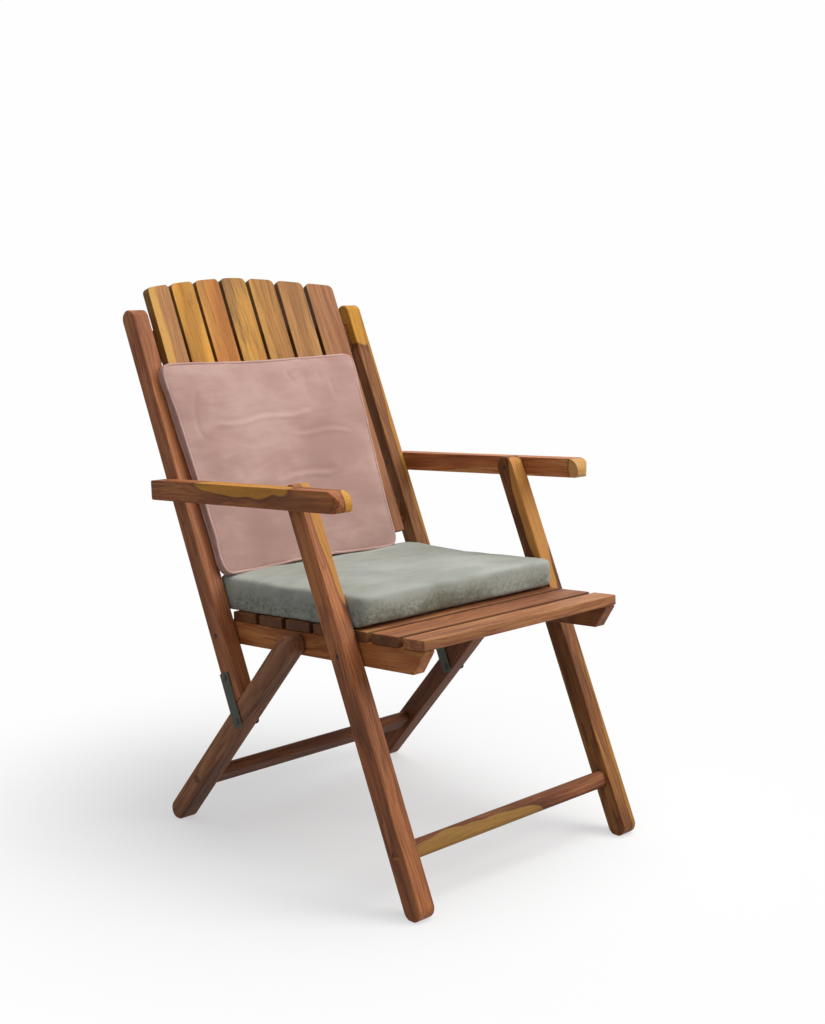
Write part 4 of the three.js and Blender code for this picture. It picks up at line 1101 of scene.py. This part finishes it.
def points_of(mesh):
    """Vertex places as an array."""
    flat = np.empty(len(mesh.vertices) * 3)
    mesh.vertices.foreach_get("co", flat)
    return flat.reshape(-1, 3)


def normals_of(mesh):
    """Vertex normals as an array."""
    flat = np.empty(len(mesh.vertices) * 3)
    mesh.vertex_normals.foreach_get("vector", flat)
    return flat.reshape(-1, 3)


def write_points(mesh, places):
    """Put places back into a mesh."""
    mesh.vertices.foreach_set("co", np.asarray(places, dtype=float).ravel())
    mesh.update()


print("a test loop has", len(plan_loop(0.4, 0.3, 0.02, 0.004)), "points")

# %% [markdown]
# A real cushion swells between its seams, is flat where it lies on the wood and is drawn in along
# its sides. So the shell is blown up by cloth simulation while its seams are pinned. How far a
# point may travel is capped, and the resting side is pressed flat again.

# %% Swelling
LAST_STEP = 20


def distance_to_loop(places, loop):
    """Distance of each (x, y) to the nearest loop point."""
    corners = np.array([(p.x, p.y) for p in loop])
    best = np.full(len(places), 1e9)
    for start in range(0, len(places), 4000):
        part = places[start:start + 4000, None, :2] - corners[None, :, :]
        best[start:start + 4000] = np.sqrt((part ** 2).sum(axis=2)).min(axis=1)
    return best


def swell(obj, loop, thick, pressure, cap, seam_width):
    """Blow the shell up with its seams pinned, then cap the travel of each point."""
    start = points_of(obj.data)
    aside = distance_to_loop(start, loop)
    off_level = np.minimum(np.abs(start[:, 2]), np.abs(start[:, 2] - thick))
    on_seam = (aside < seam_width) & (off_level < seam_width)
    pins = obj.vertex_groups.new(name="seam")
    pins.add([int(i) for i in np.nonzero(on_seam)[0]], 1.0, "REPLACE")
    stuffing = obj.modifiers.new("fill", "CLOTH")
    cloth = stuffing.settings
    cloth.quality = 5
    cloth.use_pressure = True
    cloth.uniform_pressure_force = pressure
    cloth.effector_weights.gravity = 0
    cloth.vertex_group_mass = "seam"
    cloth.tension_stiffness = 12
    cloth.compression_stiffness = 12
    cloth.bending_stiffness = 0.4
    stuffing.point_cache.frame_start = 1
    stuffing.point_cache.frame_end = LAST_STEP
    for step in range(1, LAST_STEP + 1):
        bpy.context.scene.frame_set(step)
    evaluated = obj.evaluated_get(bpy.context.evaluated_depsgraph_get())
    end = points_of(evaluated.data)
    obj.modifiers.clear()
    bpy.context.scene.frame_set(1)
    travel = end - start
    far = np.linalg.norm(travel, axis=1, keepdims=True)
    eased = cap * np.tanh(far / cap)
    places = start + travel * np.where(far > 1e-9, eased / np.maximum(far, 1e-9), 0)
    print(obj.name, "longest travel %.1f mm, kept %.1f mm" % (far.max() * 1000, eased.max() * 1000))
    return places


def press_flat(places, level, softness):
    """Push what lies under a level back to it, a little unevenly."""
    under = level - places[:, 2]
    uneven = softness * 0.1 * np.sin(places[:, 0] * 60) ** 2
    places[:, 2] = np.where(under > 0, level + uneven, places[:, 2])
    return places


def lumps(places, normals, height, seed):
    """Slow unevenness of a worn filling, about 75 mm long, added along the normals."""
    shift = Vector((seed, seed * 0.7, seed * 0.3))
    for i, (place, normal) in enumerate(zip(places, normals)):
        at = Vector((place[0], place[1] * 1.6, place[2])) / 0.075 + shift
        places[i] += np.array(normal) * height * noise.noise(at)
    return places


def place_axes(origin_x, origin, direction, up):
    """Matrix from a pad's own axes (across, along, outwards) to the chair."""
    return Matrix((
        (1, 0, 0, origin_x),
        (0, direction.x, up.x, origin.x),
        (0, direction.y, up.y, origin.y),
        (0, 0, 0, 1),
    ))


print("the cloth runs for", LAST_STEP, "steps")

# %% [markdown]
# Velvet has a short pile that has been brushed one way here and another way there. Where it
# leans towards the eye it is dark, where it leans away it is pale, so the cloth shows soft
# cloudy patches of 18 cm and small strokes of 4 cm. A sheen gives the pale rim, and a very fine
# bump breaks up the light. Pile hairs are too fine to show, so the pile is drawn as tufts of
# 7 mm and grains of 0.4 mm.

# %% Velvet material
def velvet(name, deep, mid, pale, lean, seed, side_tufts_and_shade=0.0, rest=None, fuzz=0.0006,
           band=(0.34, 0.66)):
    """Velvet with a brushed nap, whose tones between the two of band are stretched from deep to
    pale. Above the resting plane through the side point rest the nap lies smooth; the sides below
    show short tufts and grow darker towards the bottom, partly by their nap and partly by painted
    shade, as strongly as the weight for the sides says."""
    material, tree, shader = new_material(name)
    place = add(tree, "ShaderNodeTexCoord", out="Object")
    straight = add(tree, "ShaderNodeMapping", {"Vector": place, "Rotation": (lean, 0.0, 0.0)})
    cloth = add(tree, VECTOR, (straight, (seed, seed * 0.6, seed * 0.3)))
    brushed = add(tree, VECTOR, (cloth, (0.35, 1.0, 1.0)), operation="MULTIPLY")
    cloud, stroke, tuft, pile = (
        add(tree, NOISE, {"Vector": vector, "Scale": scale, "Detail": detail, "Roughness": rough,
                          "Distortion": bend})
        for vector, scale, detail, rough, bend in (
            (cloth, 5.5, 3.0, 0.5, 0.3), (brushed, 26.0, 4.0, 0.6, 0.6),
            (cloth, 150.0, 4.0, 0.65, 0.4), (cloth, 2600.0, 2.0, 0.7, 0.0)))
    cloudy = add(tree, MATH, (cloud, 0.62), operation="MULTIPLY")
    stroked = add(tree, MATH, (stroke, 0.38), operation="MULTIPLY")
    tone = add(tree, MATH, (cloudy, stroked), operation="ADD")
    if side_tufts_and_shade:
        above = add(tree, "ShaderNodeSeparateXYZ", (straight,), 1)
        level = math.cos(lean) * rest.x - math.sin(lean) * rest.y
        below = add(tree, MATH, (level, above), operation="SUBTRACT")
        side = add(tree, RANGE, (below, 0.010, 0.062, side_tufts_and_shade, 0.0), **SMOOTH)
        # Tufts and painted shade: the tufts are taken from 0.66, above their middle, so the sides
        # also grow darker towards the bottom
        tufts_and_shade = add(tree, MATH, (tuft, 0.66), operation="SUBTRACT")
        tufts_and_shade = add(tree, MATH, (tufts_and_shade, side), operation="MULTIPLY")
        tone = add(tree, MATH, (tone, tufts_and_shade), operation="ADD")
    tone = add(tree, RANGE, (tone, *band, 0.0, 1.0), **SMOOTH)
    shades = add(tree, RAMP, (tone,), None)
    set_stops(shades.color_ramp, [
        (0.0, hex_linear(deep)), (0.5, hex_linear(mid)), (1.0, hex_linear(pale))])
    share = add(tree, RANGE, (pile, 0.5, 0.8, 0.0, 0.18), **SMOOTH)
    colour = add(tree, MIX, {0: share, 6: shades.outputs["Color"], 7: hex_linear(deep)}, 2,
                 **COLOURS)
    coarse = add(tree, "ShaderNodeBump", {"Height": tuft, "Strength": 0.25, "Distance": 0.0012})
    fine = add(tree, "ShaderNodeBump", {
        "Height": pile, "Strength": 0.35, "Distance": fuzz, "Normal": coarse})
    fill(tree, shader, {
        "Base Color": colour, "Roughness": 0.92, "IOR": 1.45, "Specular IOR Level": 0.2,
        "Sheen Weight": 0.35, "Sheen Roughness": 0.45, "Sheen Tint": hex_linear(pale),
        "Normal": fine})
    return material


SEAT_PAD_AT = on_rail(0.256) + SEAT_UP * (LIFT + 0.018 + 0.0004)
GREEN_VELVET = velvet("grey_green_velvet", "#717261", "#969990", "#adb1a8", SEAT_LEAN, 2.0,
                      side_tufts_and_shade=0.80, band=(0.18, 0.70), rest=SEAT_PAD_AT)
PINK_VELVET = velvet("dusty_pink_velvet", "#a5837a", "#b29087", "#bf9f95", LEAN, 7.0)
WELT_VELVET = velvet("pink_welt_velvet", "#a8837a", "#b8958b", "#c6a59c", LEAN, 11.0, fuzz=0.0003)
print("velvets", GREEN_VELVET.name, PINK_VELVET.name, WELT_VELVET.name)

# %% [markdown]
# The seat cushion: 503 by 392 mm and 58 mm thick. It lies on the slats between the legs, leaves
# the front slats bare, and has plain seams without piping. The seams show as shallow grooves.

# %% Seat cushion
VOXEL = 0.0055
PRESSURE = 4.0
SEAM_WIDTH = 0.0042


def groove(mesh, loop, levels, deep, reach):
    """Press a narrow seam into the cloth along a plan loop at some levels."""
    places = points_of(mesh)
    normals = normals_of(mesh)
    aside = distance_to_loop(places, loop)
    for level in levels:
        near = np.sqrt(aside ** 2 + (places[:, 2] - level) ** 2)
        push = deep * np.clip(1 - near / reach, 0, 1) ** 2
        places -= normals * push[:, None]
    write_points(mesh, places)


def cushion(name, wide, deep, thick, corner, draw_in, cap, lump, rounding, reshape):
    """One stuffed cushion in its own axes: across, along, outwards."""
    loop = plan_loop(wide, deep, corner, draw_in)
    pad = shell(name, loop, thick, VOXEL)
    places = swell(pad, loop, thick, PRESSURE, cap, SEAM_WIDTH)
    write_points(pad.data, press_flat(places, 0.0, 0.001))
    places = lumps(points_of(pad.data), normals_of(pad.data), lump, seed=wide * 9)
    places[:, 2] = np.maximum(places[:, 2], 0.0)
    write_points(pad.data, places)
    smooth = pad.modifiers.new("smooth", "SMOOTH")
    smooth.factor = 0.5
    smooth.iterations = rounding
    fine = pad.modifiers.new("fine", "SUBSURF")
    fine.levels = 1
    fine.render_levels = fine.levels
    settle(pad)
    groove(pad.data, loop, (0.0, thick), 0.0012, 0.005)
    write_points(pad.data, reshape(points_of(pad.data)))
    for face in pad.data.polygons:
        face.use_smooth = True
    return pad, loop


SEAT_PAD_WIDE, SEAT_PAD_DEEP, SEAT_PAD_THICK = 0.503, 0.392, 0.058


def settle_seat_pad(places):
    """The left end is sat thinner, the rear is fuller, and the front edge curls up."""
    rear = np.clip((places[:, 1] / SEAT_PAD_DEEP - 0.05) / 0.40, 0, 1)
    worn = np.clip((places[:, 0] - 0.02) / 0.22, 0, 1) * (1 - 0.8 * rear)
    places[:, 2] *= 1 - 0.03 * worn ** 1.5 + 0.11 * rear
    front = np.clip((-places[:, 1] / SEAT_PAD_DEEP - 0.40) / 0.10, 0, 1)
    low = np.clip(1 - places[:, 2] / 0.03, 0, 1)
    places[:, 2] += 0.009 * front ** 2 * low
    return places


seat_pad = cushion("cushion_seat", SEAT_PAD_WIDE, SEAT_PAD_DEEP, SEAT_PAD_THICK, corner=0.024,
                   draw_in=0.004, cap=0.008, lump=0.0022, rounding=14, reshape=settle_seat_pad)[0]
seat_pad.data.transform(place_axes(0.0, SEAT_PAD_AT, SEAT_DIR, SEAT_UP))
dress(seat_pad, GREEN_VELVET, "seat_frame", "seat_cushion")
print("seat cushion", [round(v, 3) for v in seat_pad.dimensions])

# %% [markdown]
# The back cushion: thinner, about 485 by 411 mm, a little narrower at its foot, leaning on the
# front of the stiles and lapping a little over the right one. Its front panel has a few creases
# and, near its top, puckers.

# %% Back cushion
BACK_PAD_WIDE, BACK_PAD_DEEP, BACK_PAD_BAND = 0.485, 0.411, 0.019
BACK_PAD_START = 0.099  # from the back pivot up to the foot of the cushion
BACK_PAD_AT = (BACK_PIVOT + LEAN_DIR * (BACK_PAD_START + BACK_PAD_DEEP / 2)
               + BACK_FRONT * (STILE_DEPTH / 2 + 0.0004))
BACK_PAD_X = -0.0305
BACK_PAD_AXES = place_axes(BACK_PAD_X, BACK_PAD_AT, LEAN_DIR, BACK_FRONT)
# Creases of the front panel: along (height share, from, to, slope) and up (place, low, high)
CREASES = [(0.70, -0.17, 0.10, 0.05), (0.61, 0.02, 0.19, -0.02), (0.40, -0.06, 0.12, 0.03)]
PUCKERS = [(0.10, 0.78, 0.93), (0.125, 0.80, 0.95), (0.15, 0.76, 0.90), (0.06, 0.84, 0.95),
           (-0.19, 0.60, 0.9)]


def within(values, low, high, soft):
    """1 between two limits, falling to 0 over a soft edge inside them."""
    return np.clip((values - low) / soft, 0, 1) * np.clip((high - values) / soft, 0, 1)


def hill(off, width):
    """A smooth ridge across a line, 1 on it."""
    return np.exp(-(off / width) ** 2)


def settle_back_pad(places):
    """Narrower at the foot, moved a little to the right there, with a few creases in front."""
    up = places[:, 1] / BACK_PAD_DEEP + 0.5
    foot = np.clip(1 - up, 0, 1)
    front = np.clip((places[:, 2] - BACK_PAD_BAND * 0.8) / 0.004, 0, 1)
    for share, start, end, slope in CREASES:
        off = places[:, 1] - (share - 0.5) * BACK_PAD_DEEP - slope * places[:, 0]
        off += 0.003 * np.sin(places[:, 0] * 45 + share * 9)
        fold = 0.0017 * hill(off, 0.005) - 0.0012 * hill(off - 0.009, 0.006)
        places[:, 2] += front * within(places[:, 0], start, end, 0.03) * fold
    for at, low, high in PUCKERS:
        off = places[:, 0] - at - 0.012 * np.sin(up * 14 + at * 60)
        places[:, 2] -= front * within(up, low, high, 0.05) * 0.0018 * hill(off, 0.006)
    places[:, 0] *= 1 - 0.094 * foot ** 1.1
    places[:, 0] -= 0.008 * foot
    return places


back_pad, back_loop = cushion("cushion_back", BACK_PAD_WIDE, BACK_PAD_DEEP, BACK_PAD_BAND,
                              corner=0.018, draw_in=0.004, cap=0.011, lump=0.0018, rounding=3,
                              reshape=settle_back_pad)
print("back cushion", len(back_pad.data.polygons), "faces")

# %% [markdown]
# The panels of the back cushion meet its band in a piped seam: a cord wrapped in the same cloth,
# 5.4 mm thick, which runs all the way round the front and the rear edge. The cord is laid on the
# swollen cushion: each of its points looks for the ridge of the cloth near its place on the plan.

# %% Piping
WELT_RADIUS = 0.0027
WELT_SIDES = 10
NEAR_SEAM = 0.014


def ridge_path(places, loop, level, upwards):
    """Centre line of a seam: for each plan point the cloth point that stands out most, smoothed."""
    plan = settle_back_pad(np.array([(p.x, p.y, level) for p in loop]))
    ahead = np.roll(plan, -1, axis=0) - np.roll(plan, 1, axis=0)
    outward = np.stack([ahead[:, 1], -ahead[:, 0]], axis=1)
    outward /= np.linalg.norm(outward, axis=1, keepdims=True)
    path = []
    for here, out in zip(plan, outward):
        away = places - np.array([here[0], here[1], level])
        away = away[(away ** 2).sum(axis=1) < NEAR_SEAM ** 2]
        if not len(away):
            path.append((here[0], here[1], level))
            continue
        aside = away[:, 0] * out[0] + away[:, 1] * out[1]
        best = np.argmax(aside + upwards * 0.9 * away[:, 2])
        path.append((here[0] + aside[best] * out[0], here[1] + aside[best] * out[1],
                     level + away[best][2]))
    path = np.array(path)
    for _ in range(6):
        path = (np.roll(path, 1, axis=0) + 2 * path + np.roll(path, -1, axis=0)) / 4
    return path


def piping(name, path):
    """A cloth-covered cord: a closed tube over a path in the cushion's own axes."""
    bm = bmesh.new()
    rings = []
    count = len(path)
    up = Vector((0, 0, 1))
    for i in range(count):
        here = Vector(path[i])
        ahead = (Vector(path[(i + 1) % count]) - Vector(path[i - 1])).normalized()
        outward = ahead.cross(up).normalized()
        radius = WELT_RADIUS * (1 + 0.08 * noise.noise(here * 160))
        angles = [2 * math.pi * k / WELT_SIDES for k in range(WELT_SIDES)]
        rings.append([bm.verts.new(BACK_PAD_AXES @ (
            here + outward * radius * math.cos(a) + up * radius * math.sin(a))) for a in angles])
    for i in range(count):
        j = (i + 1) % count
        for k in range(WELT_SIDES):
            m = (k + 1) % WELT_SIDES
            bm.faces.new((rings[i][k], rings[i][m], rings[j][m], rings[j][k]))
    bmesh.ops.recalc_face_normals(bm, faces=bm.faces)
    made = from_bmesh(name, bm)
    for face in made.data.polygons:
        face.use_smooth = True
    return made


pad_points = points_of(back_pad.data)
back_pad.data.transform(BACK_PAD_AXES)
dress(back_pad, PINK_VELVET, "back", "back_cushion")
for label, level, upwards in (("front", BACK_PAD_BAND, 1), ("rear", 0.0, -1)):
    path = ridge_path(pad_points, back_loop, level, upwards)
    path[:, 2] = np.maximum(path[:, 2], WELT_RADIUS * 1.1)
    around = np.linalg.norm(np.roll(path, -1, axis=0) - path, axis=1).sum()
    print(label, "piping is", round(1000 * float(around)), "mm long")
    cord = piping(f"cushion_back_piping_{label}", path)
    dress(cord, WELT_VELVET, "back")
    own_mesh(cord)
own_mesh(back_pad)
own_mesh(seat_pad)
print("back cushion", [round(v, 3) for v in back_pad.dimensions])

# %% [markdown]
# The stage: a pale floor that melts into a white backdrop. Near the chair the floor is a plain
# diffuse surface that takes the shadow; further out it turns into the white of the world, so no
# horizon shows. The eye sees this white directly, in reflections and through clear things. For
# light that bounces, floor and world are duller, so that they don't wash out the wood.

# %% Floor and world
def seen_directly(tree):
    """1 for rays of the camera, of reflections and of clear things."""
    ray = add(tree, "ShaderNodeLightPath", out=None).outputs
    seen = add(tree, MATH, (ray["Is Camera Ray"], ray["Is Transmission Ray"]), operation="MAXIMUM")
    return add(tree, MATH, (seen, ray["Is Glossy Ray"]), operation="MAXIMUM")


def pale_floor():
    """Diffuse near the chair, backdrop white further out, and a duller floor for bounced light."""
    material, tree = new_material("pale_floor")[:2]
    tree.nodes.clear()
    place = add(tree, "ShaderNodeTexCoord", out="Object")
    away = add(tree, VECTOR, (place,), "Value", operation="LENGTH")
    share = add(tree, RANGE, (away, 0.28, 1.0, 0.46, 1.0), **SMOOTH)
    near = add(tree, "ShaderNodeBsdfDiffuse", {"Color": (0.90, 0.90, 0.90, 1)})
    glow = add(tree, "ShaderNodeEmission", {"Color": (0.99, 0.99, 0.99, 1), "Strength": 1.0})
    dim = add(tree, "ShaderNodeBsdfDiffuse", {"Color": (0.45, 0.45, 0.45, 1)})
    shown = add(tree, "ShaderNodeMixShader", (share, near, glow))
    both = add(tree, "ShaderNodeMixShader", (seen_directly(tree), dim, shown))
    add(tree, "ShaderNodeOutputMaterial", (both,), None)
    return material


bm = bmesh.new()
bmesh.ops.create_grid(bm, x_segments=1, y_segments=1, size=14)
floor = from_bmesh("floor", bm)
floor.data.materials.append(pale_floor())
floor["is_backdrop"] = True

world = bpy.data.worlds.new("studio")
world.use_nodes = True
bpy.context.scene.world = world
sky = world.node_tree
sky.nodes.clear()
white = add(sky, "ShaderNodeBackground", {"Color": (0.99, 0.99, 0.99, 1), "Strength": 1.0})
soft = add(sky, "ShaderNodeBackground", {"Color": (0.97, 0.98, 1.0, 1), "Strength": 0.34})
choice = add(sky, "ShaderNodeMixShader", (seen_directly(sky), soft, white))
add(sky, "ShaderNodeOutputWorld", (choice,), None)
print("floor is", round(floor.dimensions.x), "m wide")

# %% [markdown]
# The light is soft: a key light in front and to the left of the sitter, a large softbox
# overhead, and a weak fill from the other side.

# %% Lights
def softbox(name, at, target, size, power, colour=(1, 1, 1)):
    """An area light aimed at a point."""
    lamp = bpy.data.lights.new(name, "AREA")
    lamp.shape = "RECTANGLE"
    lamp.size, lamp.size_y = size
    lamp.energy = power
    lamp.color = colour
    made = bpy.data.objects.new(name, lamp)
    made.location = at
    made.rotation_euler = (Vector(target) - Vector(at)).to_track_quat("-Z", "Y").to_euler()
    bpy.context.scene.collection.objects.link(made)
    return made


softbox("key", (1.7, -2.4, 2.2), (0, 0, 0.5), (1.8, 1.6), 59, (1.0, 0.985, 0.96))
softbox("overhead", (0.5, -0.4, 3.0), (0, 0, 0.3), (2.4, 2.4), 52)
softbox("fill", (-2.8, -0.8, 1.5), (0, 0, 0.5), (1.6, 1.8), 4.5, (0.97, 0.98, 1.0))

# %% [markdown]
# The camera stands where the photograph was taken: about three metres away, a little above the
# arms, looking between the front and the right side. Its place, aim and lens were found by
# fitting the chair's main edges to the picture.

# %% Camera
yaw, pitch, roll = (math.radians(v) for v in (-45.59, -9.92, 1.01))
forward = Vector((
    -math.sin(yaw) * math.cos(pitch), math.cos(yaw) * math.cos(pitch), math.sin(pitch)))
level = Vector((math.cos(yaw), math.sin(yaw), 0))
above = level.cross(forward)
right = math.cos(roll) * level + math.sin(roll) * above
top = -math.sin(roll) * level + math.cos(roll) * above
eye = bpy.data.cameras.new("camera")
eye.sensor_fit = "VERTICAL"
eye.sensor_height = 24
eye.lens = 24 * 1539.2 / 1024
camera = bpy.data.objects.new("camera", eye)
place = Matrix.Identity(4)
for row in range(3):
    place[row][0], place[row][1], place[row][2] = right[row], top[row], -forward[row]
place.translation = Vector((-1.96965, -1.72939 + DATUM_Y, 1.08406))
camera.matrix_world = place
bpy.context.scene.collection.objects.link(camera)
bpy.context.scene.camera = camera
bpy.context.scene.view_settings.view_transform = "Standard"
print("lens", round(eye.lens, 2), "mm")

# %% [markdown]
# Last, the dressed chair is compared with the solids: its box may stand a few millimetres proud
# of theirs where the cloth swells, but no more.

# %% Sizes and finish
dressed_box = [[float(v) for v in corner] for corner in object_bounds()]
grown = [[round(1000 * (d - c), 1) for d, c in zip(*pair)] for pair in zip(dressed_box, cad_box)]
print("grown by", grown, "mm")
